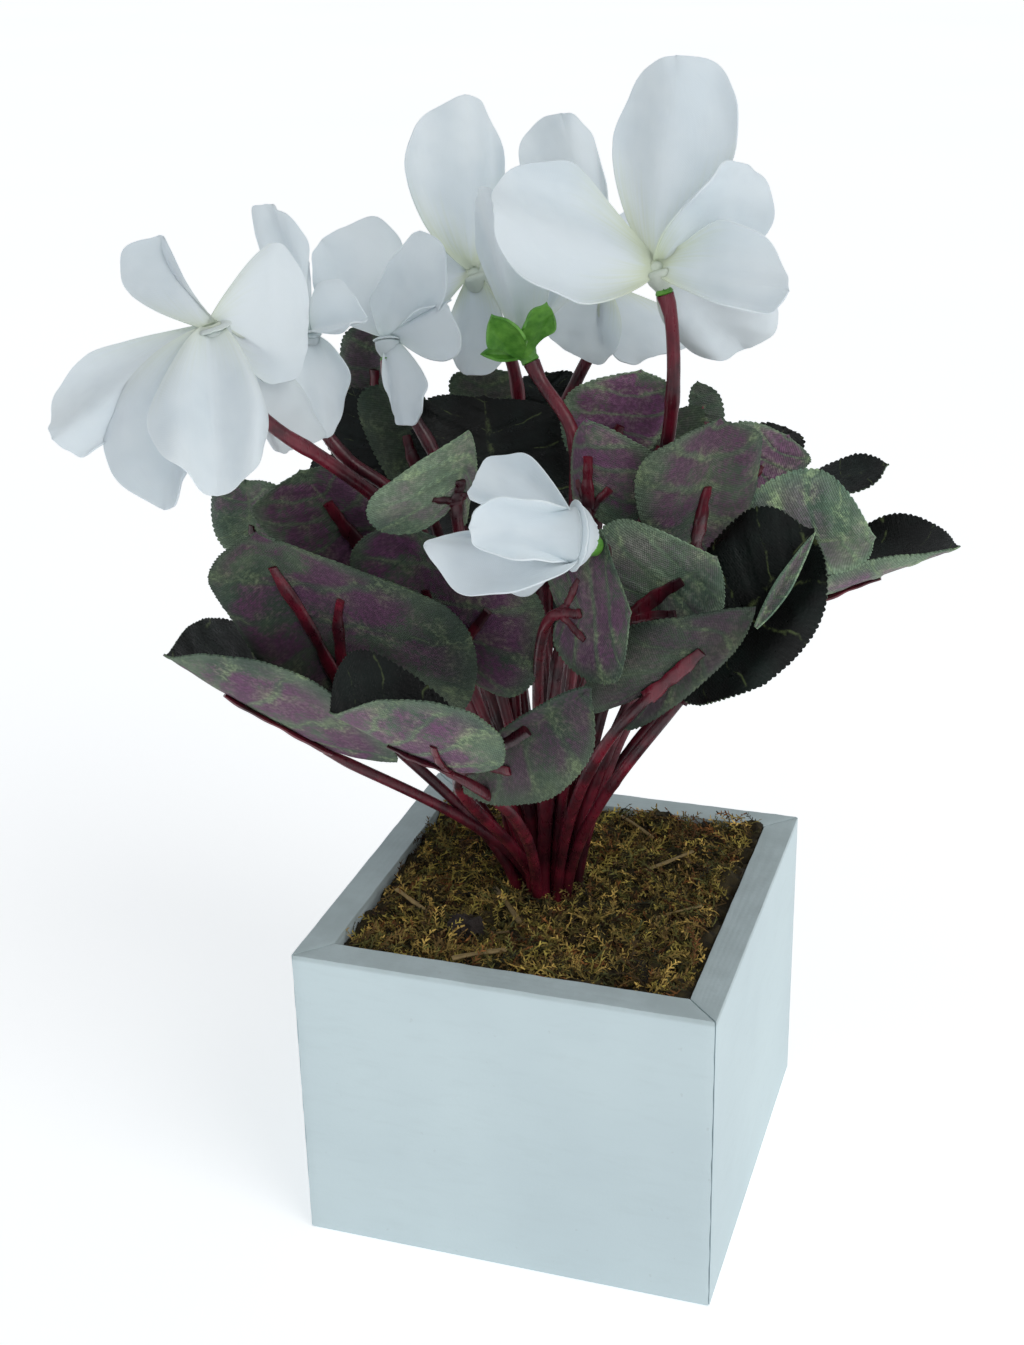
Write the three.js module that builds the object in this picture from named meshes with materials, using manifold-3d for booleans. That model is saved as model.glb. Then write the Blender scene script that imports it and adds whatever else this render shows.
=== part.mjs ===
// A potted cyclamen made of fabric and plastic: white blooms and toothed leaves on dark red stems,
// standing in dried moss in a square painted box of mitred boards.
// Millimetres, +Z up. The origin is the middle of the box's underside, and its front board faces -Y.
import * as THREE from 'three';
import { mergeVertices } from 'three/addons/utils/BufferGeometryUtils.js';
import Module from 'manifold-3d';

const wasm = await Module();
wasm.setup();

// ---------------------------------------------------------------- driving dimensions

const pot = { width: 120, height: 93, wall: 9, floor: 9 };
const seam = 0.3;                       // gap between pieces that touch
const grain = 0.1;                      // detail finer than this is left out of joined solids
const foamTop = 78;                     // top of the foam block inside the box
const moss = { level: 91, cells: 7, swell: 1.4 };
const plantTurn = THREE.MathUtils.degToRad(18.4);   // the plant's own front, turned from the box's
const crownHole = { radius: 12.8, bottom: 56 };
const crown = { x: -4, y: 1, radius: 12, bottom: crownHole.bottom + seam, top: 88 };

const leafThickness = 0.8;
const petalThickness = 0.8;
const petiole = { radius: 1.4, sides: 4, steps: 5 };
const flowerStem = { radius: 2, sides: 5, steps: 9, neck: 5 };
const rib = { radius: 0.9, sides: 4, reach: 0.6, clearance: 0.4 };
const clearance = 0.35;                 // space kept round a stem that passes a petal
const throat = { radius: 5, depth: 3.4 };
const calyxCup = { foot: 2.2, rim: 4.2, lobe: 1, lobes: 5 };

// Half outlines from the foot to the tip: [share of the length, share of the half width].
const leafForm = {
  half: halfOutline([[0, 0], [-0.15, 0.2], [-0.24, 0.48], [-0.13, 0.82], [0.15, 1], [0.45, 0.93],
    [0.75, 0.56], [1, 0]]),
  widest: 0.15,
  rows: 10,
  tooth: 0.05,
  thickness: leafThickness,
};
// A leaf that is broadest past its middle.
const broadLeafForm = {
  ...leafForm,
  half: halfOutline([[0, 0], [-0.1, 0.16], [-0.14, 0.36], [-0.02, 0.66], [0.24, 0.9], [0.5, 1],
    [0.82, 0.72], [1, 0]]),
  widest: 0.5,
};
const petalForm = {
  half: halfOutline([[0, 0.36], [0.15, 0.62], [0.35, 0.87], [0.6, 1], [0.83, 0.8], [0.96, 0.38], [1, 0]]),
  widest: 0.6,
  rows: 6,
  tooth: 0,
  thickness: petalThickness,
};
const sepalForm = {
  half: halfOutline([[0, 0.2], [0.2, 0.75], [0.45, 1], [0.75, 0.6], [1, 0]]),
  widest: 0.45,
  rows: 6,
  tooth: 0,
  thickness: petalThickness,
};

// Places of the blades in the plant's own frame: x to the right of its front, y to its back, z up.
// Left and right are the edge points at the widest place, as seen on the upper side with the tip away.
// arch lifts the midrib towards the upper side, cups bulge the left and the right half, and lobe
// stretches the two lobes behind the foot.
const leaves = [
  { name: 'left_low', base: [-64, -18, 147], tip: [-105, -26, 179], left: [-64, -44, 177],
    right: [-82, 12, 168], arch: -1, cups: [0, 0], lobe: 1.6 },
  { name: 'front_left', base: [-29, -56, 158], tip: [-60, -48, 171], left: [-25, -78, 184],
    right: [-44, -42, 183], arch: -1, cups: [0, 0], lobe: 1.2 },
  { name: 'front_middle', base: [-24, -50, 156], tip: [6, -78, 189], left: [-1, -70, 158],
    right: [-10, -68, 178], arch: 0, cups: [0, 0], form: broadLeafForm },
  { name: 'left_large', base: [-58, -18, 164], tip: [-76, -42, 218], left: [-22, -44, 186],
    right: [-85, -30, 188], arch: 0, cups: [-3, -3] },
  { name: 'left_middle', base: [-28, -26, 173], tip: [-41, -30, 216], left: [-4, -38, 191],
    right: [-51, -26, 193], arch: 0, cups: [-3, -3] },
  { name: 'centre_light', base: [-26, -38, 223], tip: [-22, -50, 245], left: [-22, -36, 224],
    right: [-48, -44, 223], arch: 0, cups: [-1, -2] },
  { name: 'far_left', base: [-82, 0, 199], tip: [-83, -4, 220], left: [-71, -8, 214],
    right: [-94, 6, 207], arch: 0, cups: [-2, -2] },
  { name: 'left_upper', base: [-51, -6, 199], tip: [-67, -16, 226], left: [-49, -13, 219],
    right: [-77, -14, 208], arch: 0, cups: [-2, -2] },
  { name: 'dark_left', base: [-44, 14, 208], tip: [-56, 30, 236], left: [-64, 22, 223],
    right: [-40, 18, 226], arch: 0, cups: [-2, -2] },
  { name: 'dark_left_inner', base: [-36, 12, 211], tip: [-45, 20, 240], left: [-31, 17, 226],
    right: [-52, 20, 225], arch: 0, cups: [-2, -2] },
  { name: 'back_left', base: [-50, 38, 225], tip: [-49, 30, 255], left: [-43, 30, 243],
    right: [-59, 38, 240], arch: 0, cups: [-2, -2] },
  { name: 'dark_centre', base: [-15, 6, 205], tip: [-19, 14, 237], left: [-38, 5, 227],
    right: [6, 12, 221], arch: 0, cups: [2, 2] },
  { name: 'back_strip', base: [-18, 40, 220], tip: [-19, 34, 240], left: [-8, 34, 230],
    right: [-29, 40, 230], arch: 0, cups: [0, 0] },
  { name: 'back_dark', base: [-1, 42, 216], tip: [-1, 50, 234], left: [-12, 44, 226],
    right: [9, 42, 229], arch: 0, cups: [0, 0] },
  { name: 'upper_purple', base: [15, 0, 224], tip: [22, -14, 250], left: [31, -8, 237],
    right: [2, -2, 237], arch: 0, cups: [-2, -2] },
  { name: 'centre_ribbed', base: [8, -28, 217], tip: [7, -34, 243], left: [26, -28, 226],
    right: [4, -20, 223], arch: 0, cups: [-3, -1] },
  { name: 'upper_dark', base: [27, 10, 213], tip: [31, 12, 232], left: [41, 12, 227],
    right: [19, 14, 223], arch: 0, cups: [0, 0] },
  { name: 'right_large', base: [35, -24, 204], tip: [40, -36, 243], left: [51, -22, 223],
    right: [19, -42, 227], arch: 0, cups: [-3, -3] },
  { name: 'upright_small', base: [42, 22, 223], tip: [40, 20, 238], left: [48, 24, 228],
    right: [38, 20, 229], arch: 0, cups: [0, 0] },
  { name: 'right_purple', base: [51, -4, 215], tip: [62, -4, 229], left: [66, 4, 215],
    right: [44, -10, 232], arch: 0, cups: [-2, -2] },
  { name: 'right_behind', base: [58, 16, 213], tip: [65, 22, 224], left: [54, 16, 223],
    right: [69, 20, 216], arch: 0, cups: [0, 0] },
  { name: 'right_light', base: [55, -18, 203], tip: [82, -28, 208], left: [68, -30, 199],
    right: [62, -20, 224], arch: 0, cups: [-2, -3] },
  { name: 'right_pointed', base: [69, 16, 207], tip: [92, 10, 216], left: [78, 20, 214],
    right: [78, 6, 208], arch: 0, cups: [0, 0] },
  { name: 'far_right', base: [67, -4, 181], tip: [109, -8, 198], left: [88, 14, 197],
    right: [79, -16, 196], arch: 0, cups: [-2, -2] },
  { name: 'right_dark', base: [31, -42, 171], tip: [64, -40, 215], left: [37, -30, 204],
    right: [57, -56, 186], arch: 0, cups: [3, 3], lobe: 0.3 },
  { name: 'front_right', base: [17, -42, 193], tip: [38, -54, 213], left: [35, -50, 193],
    right: [10, -36, 214], arch: 0, cups: [-3, -3] },
  { name: 'front_upright', base: [0, -54, 199], tip: [16, -70, 205], left: [9, -68, 186],
    right: [6, -52, 220], arch: 0, cups: [-2, -2] },
  { name: 'front_folded', base: [22, -56, 178], tip: [46, -68, 205], left: [32, -58, 179],
    right: [12, -58, 193], arch: 0, cups: [-1, -3], lobe: 1.6 },
  { name: 'rear_low_left', base: [-38, 36, 150], tip: [-80, 60, 172], left: [-57, 17, 159],
    right: [-31, 62, 159], arch: -3, cups: [-2, -2] },
  { name: 'rear_low', base: [-12, 44, 156], tip: [-20, 86, 184], left: [-40, 45, 166],
    right: [13, 55, 166], arch: -3, cups: [-2, -2] },
  { name: 'rear_low_right', base: [22, 42, 152], tip: [46, 80, 176], left: [4, 62, 162],
    right: [48, 34, 162], arch: -3, cups: [-2, -2] },
  { name: 'rear_right', base: [44, 28, 164], tip: [84, 48, 186], left: [39, 52, 173],
    right: [61, 10, 173], arch: -3, cups: [-2, -2] },
  { name: 'rear_mid_left', base: [-42, 32, 190], tip: [-70, 56, 210], left: [-60, 20, 197],
    right: [-33, 52, 197], arch: -3, cups: [-2, -2] },
  { name: 'rear_mid', base: [-4, 52, 190], tip: [-2, 84, 214], left: [-27, 58, 199],
    right: [19, 55, 199], arch: -3, cups: [-2, -2] },
  { name: 'rear_mid_right', base: [38, 36, 188], tip: [66, 64, 208], left: [26, 56, 196],
    right: [58, 24, 196], arch: -3, cups: [-2, -2] },
];

// Blooms: the stem's route ends under the calyx, and the petals stand round the throat at the hub.
const blooms = [
  { name: 'left', hub: [-84, -36, 269],
    route: [[-9, 0, 97], [-17, -6, 136], [-32, -14, 182], [-43, -24, 216],
      [-58, -30, 232], [-70, -34, 242], [-81, -36, 258]],
    petals: [
      { base: [-90, -33, 269], tip: [-99, -10, 286], left: [-108, -16, 275], right: [-95, -18, 279], cup: 1 },
      { base: [-89, -34, 267], tip: [-123, -46, 244], left: [-120, -30, 258], right: [-107, -46, 246], cup: 3 },
      { base: [-86, -40, 268], tip: [-96, -54, 228], left: [-110, -44, 247], right: [-87, -48, 244], cup: -4 },
      { base: [-82, -41, 268], tip: [-80, -72, 237], left: [-95, -66, 251], right: [-70, -56, 248], cup: -5 },
      { base: [-81, -34, 269], tip: [-62, -18, 266], left: [-68, -18, 285], right: [-68, -28, 252], cup: -1 },
      { base: [-81, -36, 266], tip: [-68, -22, 233], left: [-75, -34, 243], right: [-62, -12, 242], cup: -2 },
    ] },
  { name: 'left_rear', hub: [-65, 4, 258],
    route: [[-8, 4, 96], [-15, 4, 138], [-42, 2, 211], [-56, 0, 224], [-63, 2, 234], [-65, 4, 249]],
    petals: [
      { base: [-66, 4, 260], tip: [-73, 16, 289], left: [-77, 18, 281], right: [-64, 8, 279], cup: 2 },
      { base: [-65, 2, 260], tip: [-48, -6, 263], left: [-57, 2, 271], right: [-55, -8, 260], cup: 2 },
      { base: [-65, -1, 256], tip: [-60, -8, 232], left: [-69, -10, 246], right: [-54, -3, 247], cup: 2 },
      { base: [-66, 8, 258], tip: [-72, 44, 262], left: [-78, 34, 260], right: [-66, 38, 269], cup: 2 },
    ] },
  { name: 'centre_left', hub: [-44, 12, 254],
    route: [[-4, 2, 99], [-14, 4, 144], [-31, -2, 222], [-40, 3, 238], [-44, 9, 248]],
    petals: [
      { base: [-45, 14, 256], tip: [-62, 30, 277], left: [-61, 20, 261], right: [-42, 30, 278], cup: 1 },
      { base: [-42, 10, 252], tip: [-34, 0, 284], left: [-47, 4, 266], right: [-28, -4, 268], cup: -2 },
      { base: [-41, 5, 253], tip: [-40, -8, 235], left: [-45, 0, 241], right: [-34, -8, 244], cup: 1 },
      { base: [-41, 8, 254], tip: [-27, -8, 266], left: [-33, 0, 264], right: [-27, -10, 253], cup: -2 },
      { base: [-43, 16, 254], tip: [-37, 48, 256], left: [-43, 42, 262], right: [-31, 40, 252], cup: 2 },
    ] },
  { name: 'upper_centre', hub: [-21, 18, 270],
    route: [[-3, 6, 98], [-3, 14, 146], [-8, 24, 218], [-11, 22, 244], [-17, 18, 259]],
    petals: [
      { base: [-21, 20, 273], tip: [-22, 32, 314], left: [-38, 22, 297], right: [-12, 34, 297], cup: -3 },
      { base: [-23, 19, 270], tip: [-32, 26, 270], left: [-29, 18, 260], right: [-28, 30, 278], cup: 2 },
      { base: [-20, 16, 267], tip: [-23, 8, 244], left: [-29, 14, 254], right: [-13, 4, 254], cup: 2 },
      { base: [-18, 21, 269], tip: [-8, 52, 271], left: [-14, 48, 275], right: [-2, 46, 266], cup: 2 },
    ] },
  { name: 'centre', hub: [-9, -6, 257],
    route: [[-2, 0, 97], [0, -6, 154], [5, -14, 218], [4, -16, 235], [-6, -8, 251]],
    petals: [
      { base: [-9, -6, 258], tip: [-16, -10, 296], left: [-20, 2, 281], right: [-2, -6, 276], cup: -3 },
      { base: [-8, -4, 257], tip: [3, 18, 287], left: [-5, 16, 282], right: [10, 14, 273], cup: 2 },
      { base: [-9, -2, 257], tip: [-8, 32, 273], left: [-16, 22, 271], right: [0, 30, 270], cup: 2 },
    ] },
  { name: 'rear', hub: [15, 30, 263],
    route: [[0, 6, 96], [4, 20, 143], [2, 30, 222], [7, 30, 236], [14, 30, 254]],
    petals: [
      { base: [13, 32, 264], tip: [4, 46, 307], left: [-7, 48, 292], right: [15, 42, 293], cup: -1 },
      { base: [14, 28, 263], tip: [6, 20, 246], left: [-1, 30, 255], right: [18, 16, 248], cup: 0 },
      { base: [15, 28, 262], tip: [28, 20, 245], left: [15, 18, 247], right: [39, 28, 251], cup: 0 },
      { base: [16, 34, 263], tip: [33, 60, 272], left: [21, 54, 278], right: [38, 56, 263], cup: 2 },
    ] },
  { name: 'right', hub: [26, -12, 276],
    route: [[1, 0, 97], [17, -6, 172], [28, -16, 226], [30, -18, 249], [28, -13, 269]],
    petals: [
      { base: [26, -10, 278], tip: [31, -4, 326], left: [16, 4, 307], right: [46, -10, 310], cup: -3 },
      { base: [24, -12, 277], tip: [-15, -26, 293], left: [2, -32, 273], right: [2, -12, 302], cup: -4 },
      { base: [29, -16, 279], tip: [48, -16, 301], left: [34, -22, 295], right: [53, -14, 284], cup: -2 },
      { base: [26, -16, 277], tip: [56, -36, 274], left: [44, -24, 288], right: [41, -36, 271], cup: -3 },
      { base: [27, -8, 273], tip: [51, 6, 250], left: [57, 4, 263], right: [33, 2, 254], cup: 2 },
    ] },
  { name: 'front_bud', hub: [2, -68, 224],
    route: [[-5, -6, 100], [-3, -20, 143], [0, -32, 180], [6, -44, 201], [8, -59, 218]],
    petals: [
      { base: [2, -65, 225], tip: [-21, -66, 237], left: [-16, -70, 231], right: [-10, -60, 242], cup: -2 },
      { base: [1, -72, 225], tip: [-22, -78, 230], left: [-10, -82, 223], right: [-10, -78, 237], cup: -3 },
      { base: [2, -69, 221], tip: [-33, -70, 223], left: [-15, -77, 213], right: [-15, -65, 225], cup: -3 },
      { base: [2, -64, 221], tip: [-15, -54, 211], left: [-8, -60, 207], right: [-10, -52, 220], cup: 2 },
    ] },
];

// Sepals that stand clear of their cup, on the blooms whose calyx shows.
const sepals = {
  centre: [
    { base: [-8, -11, 253], tip: [-2, -20, 269], left: [-8, -19, 263], right: [0, -16, 262], cup: -1.5 },
    { base: [-9, -11, 253], tip: [-16, -19, 266], left: [-17, -17, 258], right: [-8, -20, 261], cup: -1.5 },
    { base: [-8, -9, 253], tip: [-19, -14, 255], left: [-14, -14, 253], right: [-14, -12, 257], cup: 0 },
  ],
};

// ---------------------------------------------------------------- geometry

function halfOutline(points) {
  return new THREE.SplineCurve(points.map(([along, out]) => new THREE.Vector2(along, out)));
}

function vector(place) {
  return new THREE.Vector3(...place);
}

// A closed geometry as a solid that can be joined and cut.
function solidOf(geometry) {
  const bare = geometry.clone();
  bare.deleteAttribute('normal');
  bare.deleteAttribute('uv');
  const merged = mergeVertices(bare, 1e-4);
  return new wasm.Manifold(new wasm.Mesh({
    numProp: 3,
    vertProperties: new Float32Array(merged.attributes.position.array),
    triVerts: new Uint32Array(merged.index.array),
  }));
}

function geometryOf(solid) {
  const mesh = solid.getMesh();
  const geometry = new THREE.BufferGeometry();
  geometry.setAttribute('position', new THREE.BufferAttribute(mesh.vertProperties, 3));
  geometry.setIndex(new THREE.BufferAttribute(mesh.triVerts, 1));
  geometry.computeVertexNormals();
  return geometry;
}

function joined(solids) {
  return wasm.Manifold.union(solids).simplify(grain);
}

// The largest body of a solid, without the scraps that a cut leaves.
function mainBody(solid) {
  const bodies = solid.decompose();
  return bodies.reduce((best, body) => (body.volume() > best.volume() ? body : best));
}

// A blade's middle surface as a function of the share along, the share out and the side (0 left, 1 right).
function bladeSurface(spec, form) {
  const base = vector(spec.base);
  const along = vector(spec.tip).sub(base);
  const across = vector(spec.right).sub(vector(spec.left));
  const normal = across.cross(along).normalize();
  const cups = spec.cups ?? [spec.cup, spec.cup];
  const arch = spec.arch ?? 0;
  const midrib = (u) => base.clone()
    .addScaledVector(along, u)
    .addScaledVector(normal, arch * 4 * (u > 0 ? u * (1 - u) : u));
  const wings = [spec.left, spec.right].map((edge) => vector(edge).sub(midrib(form.widest)));
  const point = (u, v, side) => midrib(u)
    .addScaledVector(wings[side], v)
    .addScaledVector(normal, cups[side] * 4 * v * (1 - v));
  return { point, normal, along };
}

function outlinePoint(spec, form, share) {
  const point = form.half.getPoint(share);
  if (point.x < 0) point.x *= spec.lobe ?? 1;
  return point;
}

// Rows of points from the midrib to the edge on both sides, joined into one sheet of triangles.
function bladeSheet(spec, form) {
  const surface = bladeSurface(spec, form);
  const points = [];
  const triangles = [];
  const add = (u, v, side) => points.push(surface.point(u, v, side)) - 1;
  const pairs = form.rows / 2;
  const feet = Array.from({ length: pairs + 1 }, (_, j) => (j / pairs) ** 1.5);
  const footIndex = feet.map((u) => add(u, 0, 0));
  const centre = 0.4;
  for (const side of [0, 1]) {
    const face = (a, b, c) => {
      if (a !== b && b !== c && a !== c) triangles.push(side ? [a, b, c] : [a, c, b]);
    };
    const edge = Array.from({ length: form.rows + 1 }, (_, k) => {
      if (k === form.rows) return footIndex[pairs];
      const { x: u, y: v } = outlinePoint(spec, form, k / form.rows);
      if (v === 0) return footIndex[0];
      const stretch = 1 + form.tooth * (k % 2 ? 1 : -0.4);
      return add(centre + (u - centre) * stretch, v * stretch, side);
    });
    const middle = footIndex.map((index, j) => {
      const { x: u, y: v } = outlinePoint(spec, form, j / pairs);
      if (v === 0 || j === pairs) return index;
      return add((feet[j] + u) / 2, v / 2, side);
    });
    for (let j = 0; j < pairs; j += 1) {
      face(footIndex[j], middle[j], footIndex[j + 1]);
      face(middle[j], middle[j + 1], footIndex[j + 1]);
      face(middle[j], edge[2 * j], edge[2 * j + 1]);
      face(middle[j], edge[2 * j + 1], middle[j + 1]);
      face(edge[2 * j + 1], edge[2 * j + 2], middle[j + 1]);
    }
  }
  return { points, triangles };
}

// A sheet given its thickness: the same triangles on both faces and a rim round the open edge.
function thickened({ points, triangles }, thickness) {
  const normals = points.map(() => new THREE.Vector3());
  const normal = new THREE.Vector3();
  for (const [a, b, c] of triangles) {
    normal.crossVectors(points[b].clone().sub(points[a]), points[c].clone().sub(points[a]));
    for (const index of [a, b, c]) normals[index].add(normal);
  }
  const count = points.length;
  const shifted = (side) => points.flatMap((point, index) => point.clone()
    .addScaledVector(normals[index].clone().normalize(), side * thickness / 2).toArray());
  const directed = new Set(triangles.flatMap(([a, b, c]) => [`${a}_${b}`, `${b}_${c}`, `${c}_${a}`]));
  const faces = triangles.flatMap(([a, b, c]) => [[a, b, c], [c + count, b + count, a + count]]);
  for (const [a, b, c] of triangles) {
    for (const [from, to] of [[a, b], [b, c], [c, a]]) {
      if (directed.has(`${to}_${from}`)) continue;
      faces.push([to, from, from + count], [to, from + count, to + count]);
    }
  }
  const geometry = new THREE.BufferGeometry();
  geometry.setAttribute('position', new THREE.Float32BufferAttribute([...shifted(1), ...shifted(-1)], 3));
  geometry.setIndex(faces.flat());
  geometry.computeVertexNormals();
  return geometry;
}

function blade(spec, form, extra = 0) {
  return thickened(bladeSheet(spec, form), form.thickness + extra);
}

// A round bar along a curve.
function bar(curve, { radius, sides, steps }) {
  const section = new THREE.Shape(Array.from({ length: sides }, (_, k) => {
    const angle = (k / sides) * 2 * Math.PI;
    return new THREE.Vector2(radius * Math.cos(angle), radius * Math.sin(angle));
  }));
  return new THREE.ExtrudeGeometry(section, { extrudePath: curve, steps, bevelEnabled: false });
}

// ---------------------------------------------------------------- box, foam and moss

function wallBoard() {
  const half = pot.width / 2;
  const inner = half - pot.wall;
  const mitre = seam * Math.SQRT1_2;
  const outline = new THREE.Shape([
    new THREE.Vector2(-half + mitre, -half),
    new THREE.Vector2(half - mitre, -half),
    new THREE.Vector2(inner - mitre, -inner),
    new THREE.Vector2(-inner + mitre, -inner),
  ]);
  return new THREE.ExtrudeGeometry(outline, { depth: pot.height, bevelEnabled: false });
}

function block(width, bottom, top) {
  return new THREE.BoxGeometry(width, width, top - bottom).translate(0, 0, (bottom + top) / 2);
}

// The plain hole that the crown stands in.
function crownHoleSolid(bottom, top) {
  const centre = new THREE.Vector3(crown.x, crown.y, (bottom + top) / 2)
    .applyAxisAngle(new THREE.Vector3(0, 0, 1), plantTurn);
  return solidOf(new THREE.CylinderGeometry(crownHole.radius, crownHole.radius, top - bottom, 16)
    .rotateX(Math.PI / 2).translate(centre.x, centre.y, centre.z));
}

function mossHeight(x, y) {
  const waves = Math.sin(x * 0.21 + 1) * Math.cos(y * 0.19) + 0.6 * Math.sin(x * 0.43 - y * 0.37);
  return moss.level + moss.swell * waves + 0.02 * (x + y);
}

function mossBlock(width) {
  const bottom = foamTop + seam;
  const geometry = new THREE.BoxGeometry(width, width, moss.level - bottom, moss.cells, moss.cells, 1)
    .translate(0, 0, (moss.level + bottom) / 2);
  const position = geometry.attributes.position;
  for (let i = 0; i < position.count; i += 1) {
    if (position.getZ(i) > moss.level - 1) {
      position.setZ(i, mossHeight(position.getX(i), position.getY(i)));
    }
  }
  return geometry;
}

// ---------------------------------------------------------------- stems

// A place on the underside of a leaf's midrib, just clear of the blade.
function underMidrib(spec, u) {
  const { point, normal } = bladeSurface(spec, spec.form ?? leafForm);
  const depth = leafThickness / 2 + rib.clearance + petiole.radius;
  return point(u, 0, 0).addScaledVector(normal, -depth);
}

function leafStemCurve(spec, index) {
  const centre = new THREE.Vector3(crown.x, crown.y, crown.top - 4);
  const end = underMidrib(spec, 0);
  const lean = end.clone().sub(centre).setZ(0).normalize();
  const start = centre.addScaledVector(lean, 3 + 6 * ((index * 0.618) % 1));
  const { along } = bladeSurface(spec, leafForm);
  const span = end.distanceTo(start);
  const rise = start.clone().add(new THREE.Vector3(0, 0, span * 0.3));
  const reach = Math.min(span * 0.25, along.length() * 0.6);
  const arrive = end.clone().addScaledVector(along.clone().normalize(), -reach);
  return new THREE.CubicBezierCurve3(start, rise, arrive, end);
}

function ribBar(spec) {
  const places = [-0.02, 0.2, 0.4, rib.reach].map((u) => underMidrib(spec, u));
  return bar(new THREE.CatmullRomCurve3(places), { ...rib, steps: spec.arch ? 3 : 1 });
}

function flowerStemCurve(bloom) {
  const [x, y] = bloom.route[0];
  const route = [[x, y, crown.top - 4], ...bloom.route].map(vector);
  const foot = route.at(-1);
  const neck = foot.clone().sub(vector(bloom.hub)).setLength(flowerStem.neck);
  route.splice(-1, 0, foot.clone().add(neck));
  return new THREE.CatmullRomCurve3(route);
}

function stemBars(extra = 0) {
  const petioles = leaves.map((spec, index) => bar(leafStemCurve(spec, index),
    { ...petiole, radius: petiole.radius + extra }));
  const stems = blooms.map((bloom) => bar(flowerStemCurve(bloom),
    { ...flowerStem, radius: flowerStem.radius + extra }));
  return [...petioles, ...stems].map(solidOf);
}

function stemCluster() {
  const height = crown.top - crown.bottom;
  const knot = new THREE.CylinderGeometry(crown.radius, crown.radius - 3, height, 10)
    .rotateX(Math.PI / 2).translate(crown.x, crown.y, crown.bottom + height / 2);
  const ribs = leaves.map(ribBar);
  return mainBody(joined([knot, ...ribs].map(solidOf).concat(stemBars())));
}

// ---------------------------------------------------------------- blooms

// The line from the end of a bloom's stem to the hub of its petals.
function bloomAxis(bloom) {
  const foot = vector(bloom.route.at(-1));
  const reach = vector(bloom.hub).sub(foot);
  const turn = new THREE.Quaternion()
    .setFromUnitVectors(new THREE.Vector3(0, 1, 0), reach.clone().normalize());
  return { foot, length: reach.length(), turn };
}

// The calyx cup: a small cone with a lobed rim that closes up to the throat.
function cupGeometry(bloom, extra) {
  const { foot, length, turn } = bloomAxis(bloom);
  const { rim, lobe, lobes } = calyxCup;
  const height = length - throat.depth - 2 * seam;
  const geometry = new THREE.CylinderGeometry(rim + extra, calyxCup.foot + extra, height + 2 * extra,
    lobes * 2);
  const position = geometry.attributes.position;
  for (let i = 0; i < position.count; i += 1) {
    const radius = Math.hypot(position.getX(i), position.getZ(i));
    if (position.getY(i) < 0 || radius < 1) continue;
    const angle = Math.atan2(position.getX(i), position.getZ(i));
    position.setY(i, position.getY(i) + lobe * Math.cos(lobes * angle));
  }
  return geometry.translate(0, height / 2 + seam, 0).applyQuaternion(turn).translate(foot.x, foot.y, foot.z);
}

function calyxSolid(bloom, extra = 0) {
  const parts = [cupGeometry(bloom, extra)];
  for (const spec of sepals[bloom.name] ?? []) parts.push(blade(spec, sepalForm, 2 * extra));
  return joined(parts.map(solidOf));
}

// The shallow ring that the petals grow from.
function throatGeometry(bloom) {
  return new THREE.IcosahedronGeometry(throat.radius)
    .scale(1, throat.depth / throat.radius, 1)
    .applyQuaternion(bloomAxis(bloom).turn)
    .translate(...bloom.hub);
}

function petalSolid(bloom, stemClearance) {
  const hub = vector(bloom.hub);
  const petals = bloom.petals.map((spec) => {
    const root = vector(spec.base).sub(hub).clampLength(0, throat.depth - 1).add(hub);
    return blade({ ...spec, base: root.toArray() }, petalForm);
  });
  const whole = joined([throatGeometry(bloom), ...petals].map(solidOf));
  return mainBody(whole.subtract(calyxSolid(bloom, clearance)).subtract(stemClearance).simplify(grain));
}

// ---------------------------------------------------------------- the part

function finish(color, roughness) {
  return new THREE.MeshStandardMaterial({ color, roughness, metalness: 0 });
}

const finishes = {
  paint: () => finish(0xdfe8ea, 0.55),
  foam: () => finish(0x5a6b45, 0.95),
  moss: () => finish(0x5a5426, 1),
  stem: () => finish(0x4a1018, 0.35),
  leaf: () => finish(0x4a5c46, 0.6),
  petal: () => finish(0xe6ecf0, 0.75),
  sepal: () => finish(0x3c8a1e, 0.5),
};

function named(name, geometry, material) {
  const mesh = new THREE.Mesh(geometry, material);
  mesh.name = name;
  return mesh;
}

function buildPot() {
  const group = new THREE.Group();
  ['front', 'right', 'back', 'left'].forEach((side, quarter) => {
    const board = named(`pot_wall_${side}`, wallBoard(), finishes.paint());
    board.rotation.z = quarter * Math.PI / 2;
    group.add(board);
  });
  const inside = pot.width - 2 * pot.wall - 2 * seam;
  group.add(named('pot_floor', block(inside, 0, pot.floor), finishes.paint()));
  const foam = solidOf(block(inside, pot.floor + seam, foamTop))
    .subtract(crownHoleSolid(crownHole.bottom, foamTop + 1));
  group.add(named('foam_block', geometryOf(foam), finishes.foam()));
  const mat = solidOf(mossBlock(inside)).subtract(crownHoleSolid(foamTop - 1, moss.level + 10));
  group.add(named('moss_mat', geometryOf(mat), finishes.moss()));
  return group;
}

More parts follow.
